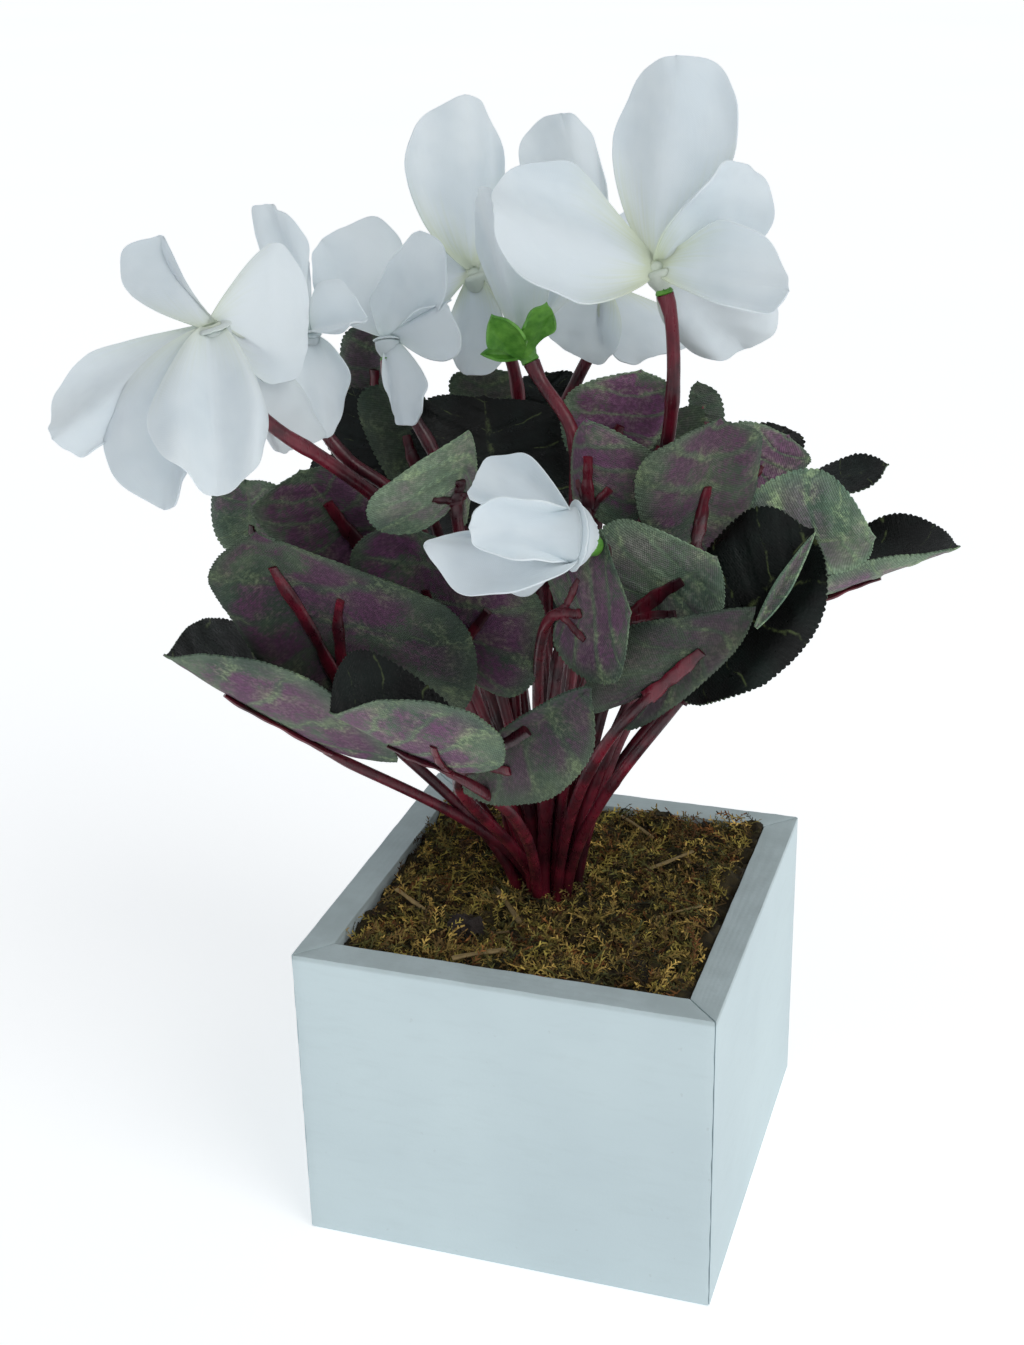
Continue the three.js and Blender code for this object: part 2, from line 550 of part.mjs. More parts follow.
function buildPlant() {
  const group = new THREE.Group();
  group.rotation.z = plantTurn;
  group.add(named('stem_cluster', geometryOf(stemCluster()), finishes.stem()));
  const stemClearance = joined(stemBars(clearance));
  for (const spec of leaves) {
    const leaf = solidOf(blade(spec, spec.form ?? leafForm)).subtract(stemClearance);
    group.add(named(`leaf_${spec.name}`, geometryOf(mainBody(leaf)), finishes.leaf()));
  }
  for (const bloom of blooms) {
    const petals = geometryOf(petalSolid(bloom, stemClearance));
    group.add(named(`bloom_${bloom.name}_petals`, petals, finishes.petal()));
    group.add(named(`bloom_${bloom.name}_calyx`, geometryOf(calyxSolid(bloom)), finishes.sepal()));
  }
  return group;
}

const part = new THREE.Group();
part.name = 'potted_cyclamen';
part.add(buildPot(), buildPlant());

export default part;
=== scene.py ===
"""A potted cyclamen of fabric and plastic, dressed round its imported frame.

White blooms and toothed leaves stand on dark red plastic stems in dried moss, in a square painted
box of mitred boards. Lengths in the tables are millimetres. The plant's own frame has x to the
right of its front, y to its back and z up, and is turned a little from the box's. Meshes are in
metres.
"""
from __future__ import annotations

import logging
import math
from collections.abc import Iterator
from contextlib import contextmanager
from dataclasses import dataclass, field, replace
from enum import Enum

import bpy
import numpy as np
from mathutils import Matrix, Vector


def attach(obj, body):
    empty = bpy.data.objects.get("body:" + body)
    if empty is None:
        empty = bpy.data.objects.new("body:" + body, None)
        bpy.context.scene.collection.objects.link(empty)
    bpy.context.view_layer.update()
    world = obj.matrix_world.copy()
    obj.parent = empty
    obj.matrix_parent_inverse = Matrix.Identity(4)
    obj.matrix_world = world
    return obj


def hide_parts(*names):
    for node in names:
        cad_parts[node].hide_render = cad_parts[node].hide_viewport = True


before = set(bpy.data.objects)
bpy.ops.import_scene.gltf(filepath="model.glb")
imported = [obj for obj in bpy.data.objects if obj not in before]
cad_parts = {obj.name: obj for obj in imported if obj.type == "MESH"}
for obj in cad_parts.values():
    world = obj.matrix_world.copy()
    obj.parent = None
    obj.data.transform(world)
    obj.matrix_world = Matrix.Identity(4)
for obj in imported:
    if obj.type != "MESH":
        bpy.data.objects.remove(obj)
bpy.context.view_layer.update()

LOG = logging.getLogger("cyclamen")
MM = 0.001
FULL_TURN = 2 * math.pi
PLANT_TURN = math.radians(18.4)
CLOTH_UNIT = 10  # millimetres of cloth in one unit of its map
RIM_STEPS = 241  # places that measure a blade's edge

Places = np.ndarray
Point = tuple[float, float, float]
Shade = tuple[int, int, int]
Knots = tuple[tuple[float, float], ...]
Piece = bpy.types.Object
Finish = bpy.types.Material
Socket = bpy.types.NodeSocket


# ---------------------------------------------------------------- curves and places


def spun(first: Places, second: Places, angle: Places) -> tuple[Places, Places]:
    """Turns a pair of coordinates by an angle in radians."""
    c, s = np.cos(angle), np.sin(angle)
    return first * c - second * s, first * s + second * c


def to_metres(places: Places) -> Places:
    """Turns places of the plant's own frame, in millimetres, to the box's frame, in metres."""
    x, y = spun(places[..., 0], places[..., 1], PLANT_TURN)
    return np.stack([x, y, places[..., 2]], axis=-1) * MM


def to_plant(places: Places) -> Places:
    """Turns places of the box's frame to the plant's own frame, both in millimetres."""
    x, y = spun(places[..., 0], places[..., 1], -PLANT_TURN)
    return np.stack([x, y, places[..., 2]], axis=-1)


def unit(vectors: Places) -> Places:
    """Scales vectors to length one."""
    return vectors / np.maximum(np.linalg.norm(vectors, axis=-1, keepdims=True), 1e-9)


def ease(value: Places, start: float, end: float) -> Places:
    """Rises smoothly from 0 at start to 1 at end."""
    t = np.clip((value - start) / (end - start), 0, 1)
    return t * t * (3 - 2 * t)


def bridge(p1: Places, p2: Places, rise: Places, fall: Places, w: Places) -> Places:
    """Goes smoothly from p1 to p2 at shares w, leaving along rise and arriving along fall."""
    return ((2 * p1 - 2 * p2 + rise + fall) * w**3 + (3 * p2 - 3 * p1 - 2 * rise - fall) * w**2
            + rise * w + p1)


def outline_curve(knots: Knots, shares: Places) -> Places:
    """Follows a smooth outline through its knots.

    Args:
        knots: The places that the outline passes through, evenly spaced in its share.
        shares: Shares of the outline, 0 to 1.

    Returns:
        One place for each share.
    """
    points = np.asarray(knots, float)
    last = len(points) - 1
    at = np.clip(shares, 0, 1) * last
    first = np.minimum(at.astype(int), last - 1)
    p0, p1 = points[np.maximum(first - 1, 0)], points[first]
    p2, p3 = points[first + 1], points[np.minimum(first + 2, last)]
    return bridge(p1, p2, (p2 - p0) / 2, (p3 - p1) / 2, (at - first)[..., None])


def stem_route(knots: list[Places], count: int, steps: int = 40) -> Places:
    """Runs a smooth line through a stem's knots, slower where they lie close together.

    Args:
        knots: The places that the line passes through.
        count: How many places to return, evenly spaced along it.
        steps: Steps between two knots.

    Returns:
        The places, first to last knot.
    """
    points = [np.asarray(k, float) for k in knots]
    points = [2 * points[0] - points[1], *points, 2 * points[-1] - points[-2]]
    w = np.linspace(0, 1, steps, endpoint=False)[:, None]
    dense = []
    for p0, p1, p2, p3 in zip(points, points[1:], points[2:], points[3:]):
        d0, d1, d2 = (math.sqrt(np.linalg.norm(b - a)) for a, b in ((p0, p1), (p1, p2), (p2, p3)))
        rise = ((p1 - p0) / d0 - (p2 - p0) / (d0 + d1) + (p2 - p1) / d1) * d1
        fall = ((p2 - p1) / d1 - (p3 - p1) / (d1 + d2) + (p3 - p2) / d2) * d1
        dense.append(bridge(p1, p2, rise, fall, w))
    return evenly(np.vstack([*dense, points[-2][None]]), count)


def arch_route(start: Places, rise: Places, arrive: Places, end: Places, count: int) -> Places:
    """Runs a stalk in an arch.

    Args:
        start: Where it starts.
        rise: The place that it leaves towards.
        arrive: The place that it arrives from.
        end: Where it ends.
        count: How many places to return, evenly spaced along it.

    Returns:
        The places, start to end.
    """
    w = np.linspace(0, 1, 2 * count)[:, None]
    line = ((1 - w) ** 3 * start + 3 * (1 - w) ** 2 * w * rise + 3 * (1 - w) * w**2 * arrive
            + w**3 * end)
    return evenly(line, count)


def evenly(line: Places, count: int) -> Places:
    """Spaces places evenly along a line.

    Args:
        line: The line's own places.
        count: How many places to return.

    Returns:
        The new places.
    """
    steps = np.linalg.norm(np.diff(line, axis=0), axis=1)
    run = np.concatenate([[0], np.cumsum(steps)])
    at = np.linspace(0, run[-1], count)
    return np.stack([np.interp(at, run, line[:, k]) for k in range(3)], axis=1)


def swell(places: Places, seed: float, wavelength: float) -> Places:
    """A smooth uneven rise and fall over places.

    Args:
        places: The places, in millimetres.
        seed: What makes it one of its own.
        wavelength: The length of its widest waves, in millimetres.

    Returns:
        A height for each place, about -1 to 1.
    """
    a, b, c = (places[..., k] * (FULL_TURN / wavelength) for k in range(3))
    return (np.sin(a + 0.7 * b + 3.1 * seed) * np.cos(0.9 * b - 0.6 * c + 1.7 * seed)
            + 0.5 * np.sin(1.9 * c + 1.3 * a + 5.3 * seed) * np.cos(2.3 * b + seed)) / 1.5


# ---------------------------------------------------------------- blades: leaves, petals and sepals


@dataclass(frozen=True)
class Outline:
    """Half the outline of a blade, from its foot to its tip.

    Attributes:
        knots: Shares of the length and of the half width.
        widest: The share of the length at which left and right are given.
        soft: How softly the two halves meet at the midrib, as a share of the half width.
    """

    knots: Knots
    widest: float
    soft: float

    def edge(self, shares: Places, lobe: float) -> Places:
        """Follows the outline.

        Args:
            shares: Shares of the outline, 0 to 1.
            lobe: How much the lobes behind the foot are stretched.

        Returns:
            The place at each share, as shares of the length and of the half width.
        """
        edge = outline_curve(self.knots, shares)
        edge[:, 0] = np.where(edge[:, 0] < 0, edge[:, 0] * lobe, edge[:, 0])
        return edge


LEAF = Outline(((0, 0), (-0.15, 0.2), (-0.24, 0.48), (-0.13, 0.82), (0.15, 1), (0.45, 0.93),
                (0.75, 0.56), (1, 0)), 0.15, 0.1)
BROAD_LEAF = Outline(((0, 0), (-0.1, 0.16), (-0.14, 0.36), (-0.02, 0.66), (0.24, 0.9), (0.5, 1),
                      (0.82, 0.72), (1, 0)), 0.5, 0.1)
PETAL = Outline(((0, 0.42), (0.15, 0.7), (0.35, 0.92), (0.6, 1), (0.83, 0.82), (0.96, 0.4),
                 (1, 0)), 0.6, 0.5)
SEPAL = Outline(((0, 0.2), (0.2, 0.75), (0.45, 1), (0.75, 0.6), (1, 0)), 0.45, 0.2)


@dataclass(frozen=True)
class Blade:
    """Where a leaf, petal or sepal lies, in millimetres of the plant's own frame.

    Attributes:
        base: The foot of the midrib.
        tip: The end of the midrib.
        left: The edge at the widest place, on the left of the upper side with the tip away.
        right: The edge opposite left.
        arch: How far the midrib rises towards the upper side.
        cups: How far the halves bulge towards the upper side, or the left and the right one.
        lobe: How much the two lobes behind the foot are stretched.
    """

    base: Point
    tip: Point
    left: Point
    right: Point
    arch: float = 0
    cups: float | tuple[float, float] = 0
    lobe: float = 1

    @property
    def along(self) -> Places:
        """The line from foot to tip."""
        return np.subtract(self.tip, self.base).astype(float)

    @property
    def upward(self) -> Places:
        """The direction that the upper side faces."""
        return unit(np.cross(np.subtract(self.right, self.left).astype(float), self.along))

    def midrib(self, u: Places) -> Places:
        """Follows the midrib.

        Args:
            u: Shares of the length.

        Returns:
            One place for each share.
        """
        u = np.asarray(u, float)[..., None]
        bend = self.arch * 4 * np.where(u > 0, u * (1 - u), u)
        return np.asarray(self.base, float) + self.along * u + self.upward * bend

    def place(self, u: Places, out: Places, outline: Outline) -> Places:
        """Places on the middle surface.

        Args:
            u: Shares of the length.
            out: Shares of the half width, below 0 on the left.
            outline: The outline whose widest place left and right are.

        Returns:
            One place for each pair of shares.
        """
        centre = self.midrib(outline.widest)
        left, right = np.subtract(self.left, centre), np.subtract(self.right, centre)
        out = np.asarray(out, float)[..., None]
        soft = outline.soft
        fold = (np.sqrt(out**2 + soft**2) - soft) / (math.sqrt(1 + soft**2) - soft)
        first, last = np.broadcast_to(self.cups, 2)
        cup = first + (last - first) * ease(out, -0.2, 0.2)
        bulge = cup * 6.75 * out**2 * (1 - np.abs(out))  # 6.75 takes its crest to cup
        return (self.midrib(u) + (right - left) / 2 * out + (left + right) / 2 * fold
                + self.upward * bulge)


@dataclass(frozen=True)
class Leaf:
    """A leaf of the foliage.

    Attributes:
        name: Its name after "leaf_".
        tone: How light its underside is painted, as painted light and shade for how light falls on
            this leaf.
        purple: How much purple is printed on it.
        blade: Where it lies.
        outline: Its outline.
        ribs: How far the midrib and the left and the right side rib run, as shares of the length.
        lean: How far its side ribs lean from the midrib.
        turned: A narrow blade where its edge is turned over.
    """

    name: str
    tone: float
    purple: float
    blade: Blade
    outline: Outline = LEAF
    ribs: tuple[float, float, float] = (0.5, 0.25, 0.2)
    lean: float = 1
    turned: Blade | None = None


@dataclass(frozen=True)
class Bloom:
    """A bloom on its own stem.

    Attributes:
        name: Its name after "bloom_".
        cream: How far the cream of its throat runs.
        hub: The middle of its throat.
        route: The way of its stem, from the crown to the foot of the calyx.
        petals: Where its petals lie.
        sepals: The sepals that stand clear of its calyx.
        throat: The size of its throat.
        mouth: How wide its petals stand at their feet, as a share of the throat.
        veil: How much of its calyx the collar of its petals covers.
        spread: How far a petal's foot reaches round the throat to either side, in radians.
        face: The direction that its throat faces, where that is not along the end of its stem.
    """

    name: str
    cream: float
    hub: Point
    route: tuple[Point, ...]
    petals: tuple[Blade, ...]
    sepals: tuple[Blade, ...] = ()
    throat: float = 1
    mouth: float = 0.5
    veil: float = 0.85
    spread: float = 0.95
    face: Point | None = None

    @property
    def depth(self) -> float:
        """How far its hub stands from the end of its stem."""
        return np.linalg.norm(np.subtract(self.hub, self.route[-1]))

    @property
    def neck(self) -> Places:
        """The direction from the end of its stem to its hub."""
        return unit(np.subtract(self.hub, self.route[-1]).astype(float))

    @property
    def axis(self) -> Places:
        """The direction that its throat faces."""
        return self.neck if self.face is None else unit(np.array(self.face, float))


# A leaf's first number is the painted light and shade on its underside; its second is its purple.
LEAVES = (
    Leaf("left_low", 1.35, 0.8, ribs=(0.62, 0, 0.25), blade=Blade(
        (-64, -18, 147), (-105, -26, 179), (-64, -44, 177), (-82, 12, 168), arch=-1, lobe=1.6)),
    Leaf("front_left", 1.5, 0.75, ribs=(0.5, 0.35, 0), blade=Blade(
        (-29, -56, 158), (-60, -48, 171), (-25, -78, 184), (-44, -42, 183), arch=-1, lobe=1.2)),
    Leaf("front_middle", 0.85, 0.6, outline=BROAD_LEAF, ribs=(0.5, 0.4, 0.2), blade=Blade(
        (-24, -50, 156), (6, -78, 189), (-1, -70, 158), (-10, -68, 178))),
    Leaf("left_large", 0.78, 0.85, ribs=(0.8, 0.72, 0), lean=0.5, blade=Blade(
        (-58, -18, 164), (-76, -42, 218), (-22, -44, 186), (-85, -30, 188), cups=-3)),
    Leaf("left_middle", 1.1, 1.1, ribs=(0.55, 0.55, 0), blade=Blade(
        (-28, -26, 173), (-41, -30, 216), (-4, -38, 191), (-51, -26, 193), cups=-3)),
    Leaf("centre_light", 1.8, 0.4, ribs=(0.35, 0.3, 0.3), blade=Blade(
        (-26, -38, 223), (-22, -50, 245), (-22, -36, 224), (-48, -44, 223), cups=(-1, -2))),
    Leaf("far_left", 1.4, 0.6, ribs=(0.35, 0, 0.2), blade=Blade(
        (-82, 0, 199), (-83, -4, 220), (-71, -8, 214), (-94, 6, 207), cups=-2)),
    Leaf("left_upper", 1.0, 1.3, ribs=(0.62, 0, 0), blade=Blade(
        (-51, -6, 199), (-67, -16, 226), (-49, -13, 219), (-77, -14, 208), cups=-2)),
    Leaf("dark_left", 0.8, 0.2, blade=Blade(
        (-44, 14, 208), (-56, 30, 236), (-64, 22, 223), (-40, 18, 226), cups=-2)),
    Leaf("dark_left_inner", 0.7, 0.1, blade=Blade(
        (-36, 12, 211), (-45, 20, 240), (-31, 17, 226), (-52, 20, 225), cups=-2)),
    Leaf("back_left", 1.0, 0.5, blade=Blade(
        (-50, 38, 225), (-49, 30, 255), (-43, 30, 243), (-59, 38, 240), cups=-2)),
    Leaf("dark_centre", 0.8, 0.2, blade=Blade(
        (-15, 6, 205), (-19, 14, 237), (-38, 5, 227), (6, 12, 221), cups=2)),
    Leaf("back_strip", 1.4, 0.3, blade=Blade(
        (-18, 40, 220), (-19, 34, 240), (-8, 34, 230), (-29, 40, 230))),
    Leaf("back_dark", 0.8, 0.2, blade=Blade(
        (-1, 42, 216), (-1, 50, 234), (-12, 44, 226), (9, 42, 229))),
    Leaf("upper_purple", 2.3, 1.5, ribs=(0.35, 0.2, 0), blade=Blade(
        (15, 0, 224), (22, -14, 250), (31, -8, 237), (2, -2, 237), cups=-2)),
    Leaf("centre_ribbed", 1.5, 0.8, ribs=(0.6, 0.35, 0.45), blade=Blade(
        (8, -28, 217), (7, -34, 243), (26, -28, 226), (4, -20, 223), cups=(-3, -1))),
    Leaf("upper_dark", 0.75, 0.3, blade=Blade(
        (27, 10, 213), (31, 12, 232), (41, 12, 227), (19, 14, 223))),
    Leaf("right_large", 1.0, 0.75, ribs=(0.5, 0, 0), blade=Blade(
        (35, -24, 204), (40, -36, 243), (51, -22, 223), (19, -42, 227), cups=-3)),
    Leaf("upright_small", 1.2, 0.2, blade=Blade(
        (42, 22, 223), (40, 20, 238), (48, 24, 228), (38, 20, 229))),
    Leaf("right_purple", 1.9, 0.7, ribs=(0.4, 0, 0.2), blade=Blade(
        (51, -4, 215), (62, -4, 229), (66, 4, 215), (44, -10, 232), cups=-2)),
    Leaf("right_behind", 0.8, 0.2, blade=Blade(
        (58, 16, 213), (65, 22, 224), (54, 16, 223), (69, 20, 216))),
    Leaf("right_light", 3.0, 0.3, ribs=(0.4, 0.3, 0.25), blade=Blade(
        (55, -18, 203), (82, -28, 208), (68, -30, 199), (62, -20, 224), cups=(-2, -3))),
    Leaf("right_pointed", 0.9, 0.2, blade=Blade(
        (69, 16, 207), (92, 10, 216), (78, 20, 214), (78, 6, 208))),
    Leaf("far_right", 2.0, 0.6, blade=Blade(
        (67, -4, 181), (109, -8, 198), (88, 14, 197), (79, -16, 196), cups=-2)),
    Leaf("right_dark", 0.8, 0.2, blade=Blade(
        (31, -42, 171), (64, -40, 215), (37, -30, 204), (57, -56, 186), cups=3, lobe=0.3),
        turned=Blade((48, -54, 194), (63, -48, 217), (53, -53, 206), (56, -55, 204))),
    Leaf("front_right", 2.15, 0.3, ribs=(0.62, 0.45, 0), blade=Blade(
        (17, -42, 193), (38, -54, 213), (35, -50, 193), (10, -36, 214), cups=-3)),
    Leaf("front_upright", 1.2, 0.7, ribs=(0.3, 0.4, 0.4), blade=Blade(
        (0, -54, 199), (16, -70, 205), (9, -68, 186), (6, -52, 220), cups=-2)),
    Leaf("front_folded", 0.6, 0.5, ribs=(0.5, 0, 0), blade=Blade(
        (22, -56, 178), (46, -68, 205), (32, -58, 179), (12, -58, 193), cups=(-1, -3), lobe=1.6)),
    Leaf("rear_low_left", 0.9, 0.4, blade=Blade(
        (-38, 36, 150), (-80, 60, 172), (-57, 17, 159), (-31, 62, 159), arch=-3, cups=-2)),
    Leaf("rear_low", 0.9, 0.4, blade=Blade(
        (-12, 44, 156), (-20, 86, 184), (-40, 45, 166), (13, 55, 166), arch=-3, cups=-2)),
    Leaf("rear_low_right", 0.9, 0.4, blade=Blade(
        (22, 42, 152), (46, 80, 176), (4, 62, 162), (48, 34, 162), arch=-3, cups=-2)),
    Leaf("rear_right", 0.9, 0.4, blade=Blade(
        (44, 28, 164), (84, 48, 186), (39, 52, 173), (61, 10, 173), arch=-3, cups=-2)),
    Leaf("rear_mid_left", 0.9, 0.4, blade=Blade(
        (-42, 32, 190), (-70, 56, 210), (-60, 20, 197), (-33, 52, 197), arch=-3, cups=-2)),
    Leaf("rear_mid", 0.9, 0.4, blade=Blade(
        (-4, 52, 190), (-2, 84, 214), (-27, 58, 199), (19, 55, 199), arch=-3, cups=-2)),
    Leaf("rear_mid_right", 0.9, 0.4, blade=Blade(
        (38, 36, 188), (66, 64, 208), (26, 56, 196), (58, 24, 196), arch=-3, cups=-2)),
)

BLOOMS = (
    Bloom("left", 0.8, throat=0.8, spread=1.15, hub=(-84, -36, 269), route=(
        (-9, 0, 97), (-17, -6, 136), (-32, -14, 182), (-43, -24, 216), (-58, -30, 232),
        (-70, -34, 242), (-81, -36, 258),
    ), petals=(
        Blade((-90, -33, 269), (-99, -10, 286), (-108, -16, 275), (-95, -18, 279), cups=1),
        Blade((-89, -34, 267), (-123, -46, 244), (-120, -30, 258), (-107, -46, 246), cups=3),
        Blade((-86, -40, 268), (-96, -54, 228), (-110, -44, 247), (-87, -48, 244), cups=-4),
        Blade((-82, -41, 268), (-80, -72, 237), (-95, -66, 251), (-70, -56, 248), cups=-5),
        Blade((-81, -34, 269), (-62, -18, 266), (-68, -18, 285), (-68, -28, 252), cups=-1),
        Blade((-81, -36, 266), (-68, -22, 233), (-75, -34, 243), (-62, -12, 242), cups=-2),
    )),
    Bloom("left_rear", 0.3, throat=0.6, hub=(-65, 4, 258), route=(
        (-8, 4, 96), (-15, 4, 138), (-42, 2, 211), (-56, 0, 224), (-63, 2, 234), (-65, 4, 249),
    ), petals=(
        Blade((-66, 4, 260), (-73, 16, 289), (-77, 18, 281), (-64, 8, 279), cups=2),
        Blade((-65, 2, 260), (-48, -6, 263), (-57, 2, 271), (-55, -8, 260), cups=2),
        Blade((-65, -1, 256), (-60, -8, 232), (-69, -10, 246), (-54, -3, 247), cups=2),
        Blade((-66, 8, 258), (-72, 44, 262), (-78, 34, 260), (-66, 38, 269), cups=2),
    )),
    Bloom("centre_left", 0.3, throat=0.6, hub=(-44, 12, 254), route=(
        (-4, 2, 99), (-14, 4, 144), (-31, -2, 222), (-40, 3, 238), (-44, 9, 248),
    ), petals=(
        Blade((-45, 14, 256), (-62, 30, 277), (-61, 20, 261), (-42, 30, 278), cups=1),
        Blade((-42, 10, 252), (-34, 0, 284), (-47, 4, 266), (-28, -4, 268), cups=-2),
        Blade((-41, 5, 253), (-40, -8, 235), (-45, 0, 241), (-34, -8, 244), cups=1),
        Blade((-41, 8, 254), (-27, -8, 266), (-33, 0, 264), (-27, -10, 253), cups=-2),
        Blade((-43, 16, 254), (-37, 48, 256), (-43, 42, 262), (-31, 40, 252), cups=2),
    )),
    Bloom("upper_centre", 1.6, throat=0.55, face=(-0.35, -0.6, 0.7), hub=(-21, 18, 270), route=(
        (-3, 6, 98), (-3, 14, 146), (-8, 24, 218), (-11, 22, 244), (-17, 18, 259),
    ), petals=(
        Blade((-21, 20, 273), (-22, 32, 314), (-38, 22, 297), (-12, 34, 297), cups=-3),
        Blade((-23, 19, 270), (-32, 26, 270), (-29, 18, 260), (-28, 30, 278), cups=2),
        Blade((-20, 16, 267), (-23, 8, 244), (-29, 14, 254), (-13, 4, 254), cups=2),
        Blade((-18, 21, 269), (-8, 52, 271), (-14, 48, 275), (-2, 46, 266), cups=2),
    )),
    Bloom("centre", 0.8, throat=0.7, veil=0.3, hub=(-9, -6, 257), route=(
        (-2, 0, 97), (0, -6, 154), (5, -14, 218), (4, -16, 235), (-6, -8, 251),
    ), petals=(
        Blade((-9, -6, 258), (-16, -10, 296), (-20, 2, 281), (-2, -6, 276), cups=-3),
        Blade((-8, -4, 257), (3, 18, 287), (-5, 16, 282), (10, 14, 273), cups=2),
        Blade((-9, -2, 257), (-8, 32, 273), (-16, 22, 271), (0, 30, 270), cups=2),
    ), sepals=(
        Blade((-8, -11, 253), (-2, -20, 269), (-8, -19, 263), (0, -16, 262), cups=-1.5),
        Blade((-9, -11, 253), (-16, -19, 266), (-17, -17, 258), (-8, -20, 261), cups=-1.5),
        Blade((-8, -9, 253), (-19, -14, 255), (-14, -14, 253), (-14, -12, 257)),
    )),
    Bloom("rear", 1.3, throat=0.7, hub=(15, 30, 263), route=(
        (0, 6, 96), (4, 20, 143), (2, 30, 222), (7, 30, 236), (14, 30, 254),
    ), petals=(
        Blade((13, 32, 264), (4, 46, 307), (-7, 48, 292), (15, 42, 293), cups=-1),
        Blade((14, 28, 263), (6, 20, 246), (-1, 30, 255), (18, 16, 248)),
        Blade((15, 28, 262), (28, 20, 245), (15, 18, 247), (39, 28, 251)),
        Blade((16, 34, 263), (33, 60, 272), (21, 54, 278), (38, 56, 263), cups=2),
    )),
    Bloom("right", 1.6, throat=0.6, spread=1.2, face=(-0.1, -0.75, 0.65),
          hub=(26, -12, 276), route=(
        (1, 0, 97), (17, -6, 172), (28, -16, 226), (30, -18, 249), (28, -13, 269),
    ), petals=(
        Blade((26, -10, 278), (31, -4, 326), (16, 4, 307), (46, -10, 310), cups=-3),
        Blade((24, -12, 277), (-15, -26, 293), (2, -32, 273), (2, -12, 302), cups=-4),
        Blade((29, -16, 279), (48, -16, 301), (34, -22, 295), (53, -14, 284), cups=-2),
        Blade((26, -16, 277), (56, -36, 274), (44, -24, 288), (41, -36, 271), cups=-3),
        Blade((27, -8, 273), (51, 6, 250), (57, 4, 263), (33, 2, 254), cups=2),
    )),
    Bloom("front_bud", 0.1, throat=1.3, mouth=0.93, veil=0.25, spread=1.2, face=(-1, -0.25, 0.15),
          hub=(2, -68, 224), route=(
        (-5, -6, 100), (-3, -20, 143), (0, -32, 180), (6, -44, 201), (8, -59, 218),
    ), petals=(
        Blade((2, -65, 225), (-21, -66, 237), (-16, -70, 231), (-10, -60, 242), cups=-2),
        Blade((1, -72, 225), (-22, -78, 230), (-10, -82, 223), (-10, -78, 237), cups=-3),
        Blade((2, -69, 221), (-33, -70, 223), (-15, -77, 213), (-15, -65, 225), cups=-3),
        Blade((2, -64, 221), (-15, -54, 211), (-8, -60, 207), (-10, -52, 220), cups=2),
    )),
)


# ---------------------------------------------------------------- the bench: meshes by hand


def clear_bench() -> None:
    """Deselects everything and leaves edit mode."""
    if bpy.context.object and bpy.context.object.mode != "OBJECT":
        bpy.ops.object.mode_set(mode="OBJECT")
    bpy.ops.object.select_all(action="DESELECT")


def pick(piece: Piece) -> None:
    """Makes one piece the selected and active one.

    Args:
        piece: The piece.
    """
    clear_bench()
    piece.select_set(True)
    bpy.context.view_layer.objects.active = piece


def named(name: str) -> Piece:
    """Names the object that was just added, and its mesh.

    Args:
        name: The new name.

    Returns:
        The object.
    """
    piece = bpy.context.object
    piece.name = piece.data.name = name
    return piece


def corners(piece: Piece) -> Places:
    """Lists where a piece's vertices lie.

    Args:
        piece: The piece.

    Returns:
        One place for each vertex.
    """
    places = np.empty(len(piece.data.vertices) * 3)
    piece.data.vertices.foreach_get("co", places)
    return places.reshape(-1, 3)


def move_corners(piece: Piece, places: Places) -> None:
    """Puts a piece's vertices at new places."""
    piece.data.vertices.foreach_set("co", np.ascontiguousarray(places, float).ravel())
    piece.data.update()


def add_grid(name: str, columns: int, rows: int) -> tuple[Piece, Places, Places]:
    """Adds a flat grid to be bent to a surface.

    Args:
        name: The piece's name.
        columns: Faces across.
        rows: Faces along.

    Returns:
        The piece, and each vertex's share across and along, 0 to 1.
    """
    clear_bench()
    bpy.ops.mesh.primitive_grid_add(x_subdivisions=columns, y_subdivisions=rows, size=2)
    piece = named(name)
    flat = corners(piece)
    return piece, (flat[:, 0] + 1) / 2, (flat[:, 1] + 1) / 2


def map_surface(piece: Piece, layer: str, places: Places) -> None:
    """Writes a UV map.

    Args:
        piece: The piece.
        layer: The map's name.
        places: One place for each vertex.
    """
    data = piece.data
    uv = data.uv_layers.get(layer) or data.uv_layers.new(name=layer)
    index = np.empty(len(data.loops), int)
    data.loops.foreach_get("vertex_index", index)
    uv.data.foreach_set("uv", np.ascontiguousarray(places[index], float).ravel())


def tint(piece: Piece, layer: str, colours: Places) -> None:
    """Writes a colour for each vertex.

    Args:
        piece: The piece.
        layer: The attribute's name.
        colours: Red, green and blue, for each vertex or for all.
    """
    attribute = piece.data.attributes.new(layer, "FLOAT_COLOR", "POINT")
    values = np.ones((len(piece.data.vertices), 4))
    values[:, :3] = colours
    attribute.data.foreach_set("color", values.ravel())


@contextmanager
def shaping(piece: Piece, whole: bool = True) -> Iterator[None]:
    """Opens a piece in edit mode for a while.

    Args:
        piece: The piece.
        whole: Whether all of it is selected first.

    Yields:
        Nothing.
    """
    pick(piece)
    bpy.ops.object.mode_set(mode="EDIT")
    if whole:
        bpy.ops.mesh.select_all(action="SELECT")
    yield
    bpy.ops.object.mode_set(mode="OBJECT")


def weld(piece: Piece, closed: bool) -> None:
    """Merges doubles.

    Args:
        piece: The piece.
        closed: Whether it is closed, and its faces are turned outwards.
    """
    with shaping(piece):
        bpy.ops.mesh.remove_doubles(threshold=1e-6)
        bpy.ops.mesh.dissolve_degenerate(threshold=1e-7)
        if closed:
            bpy.ops.mesh.select_all(action="SELECT")
            bpy.ops.mesh.normals_make_consistent(inside=False)


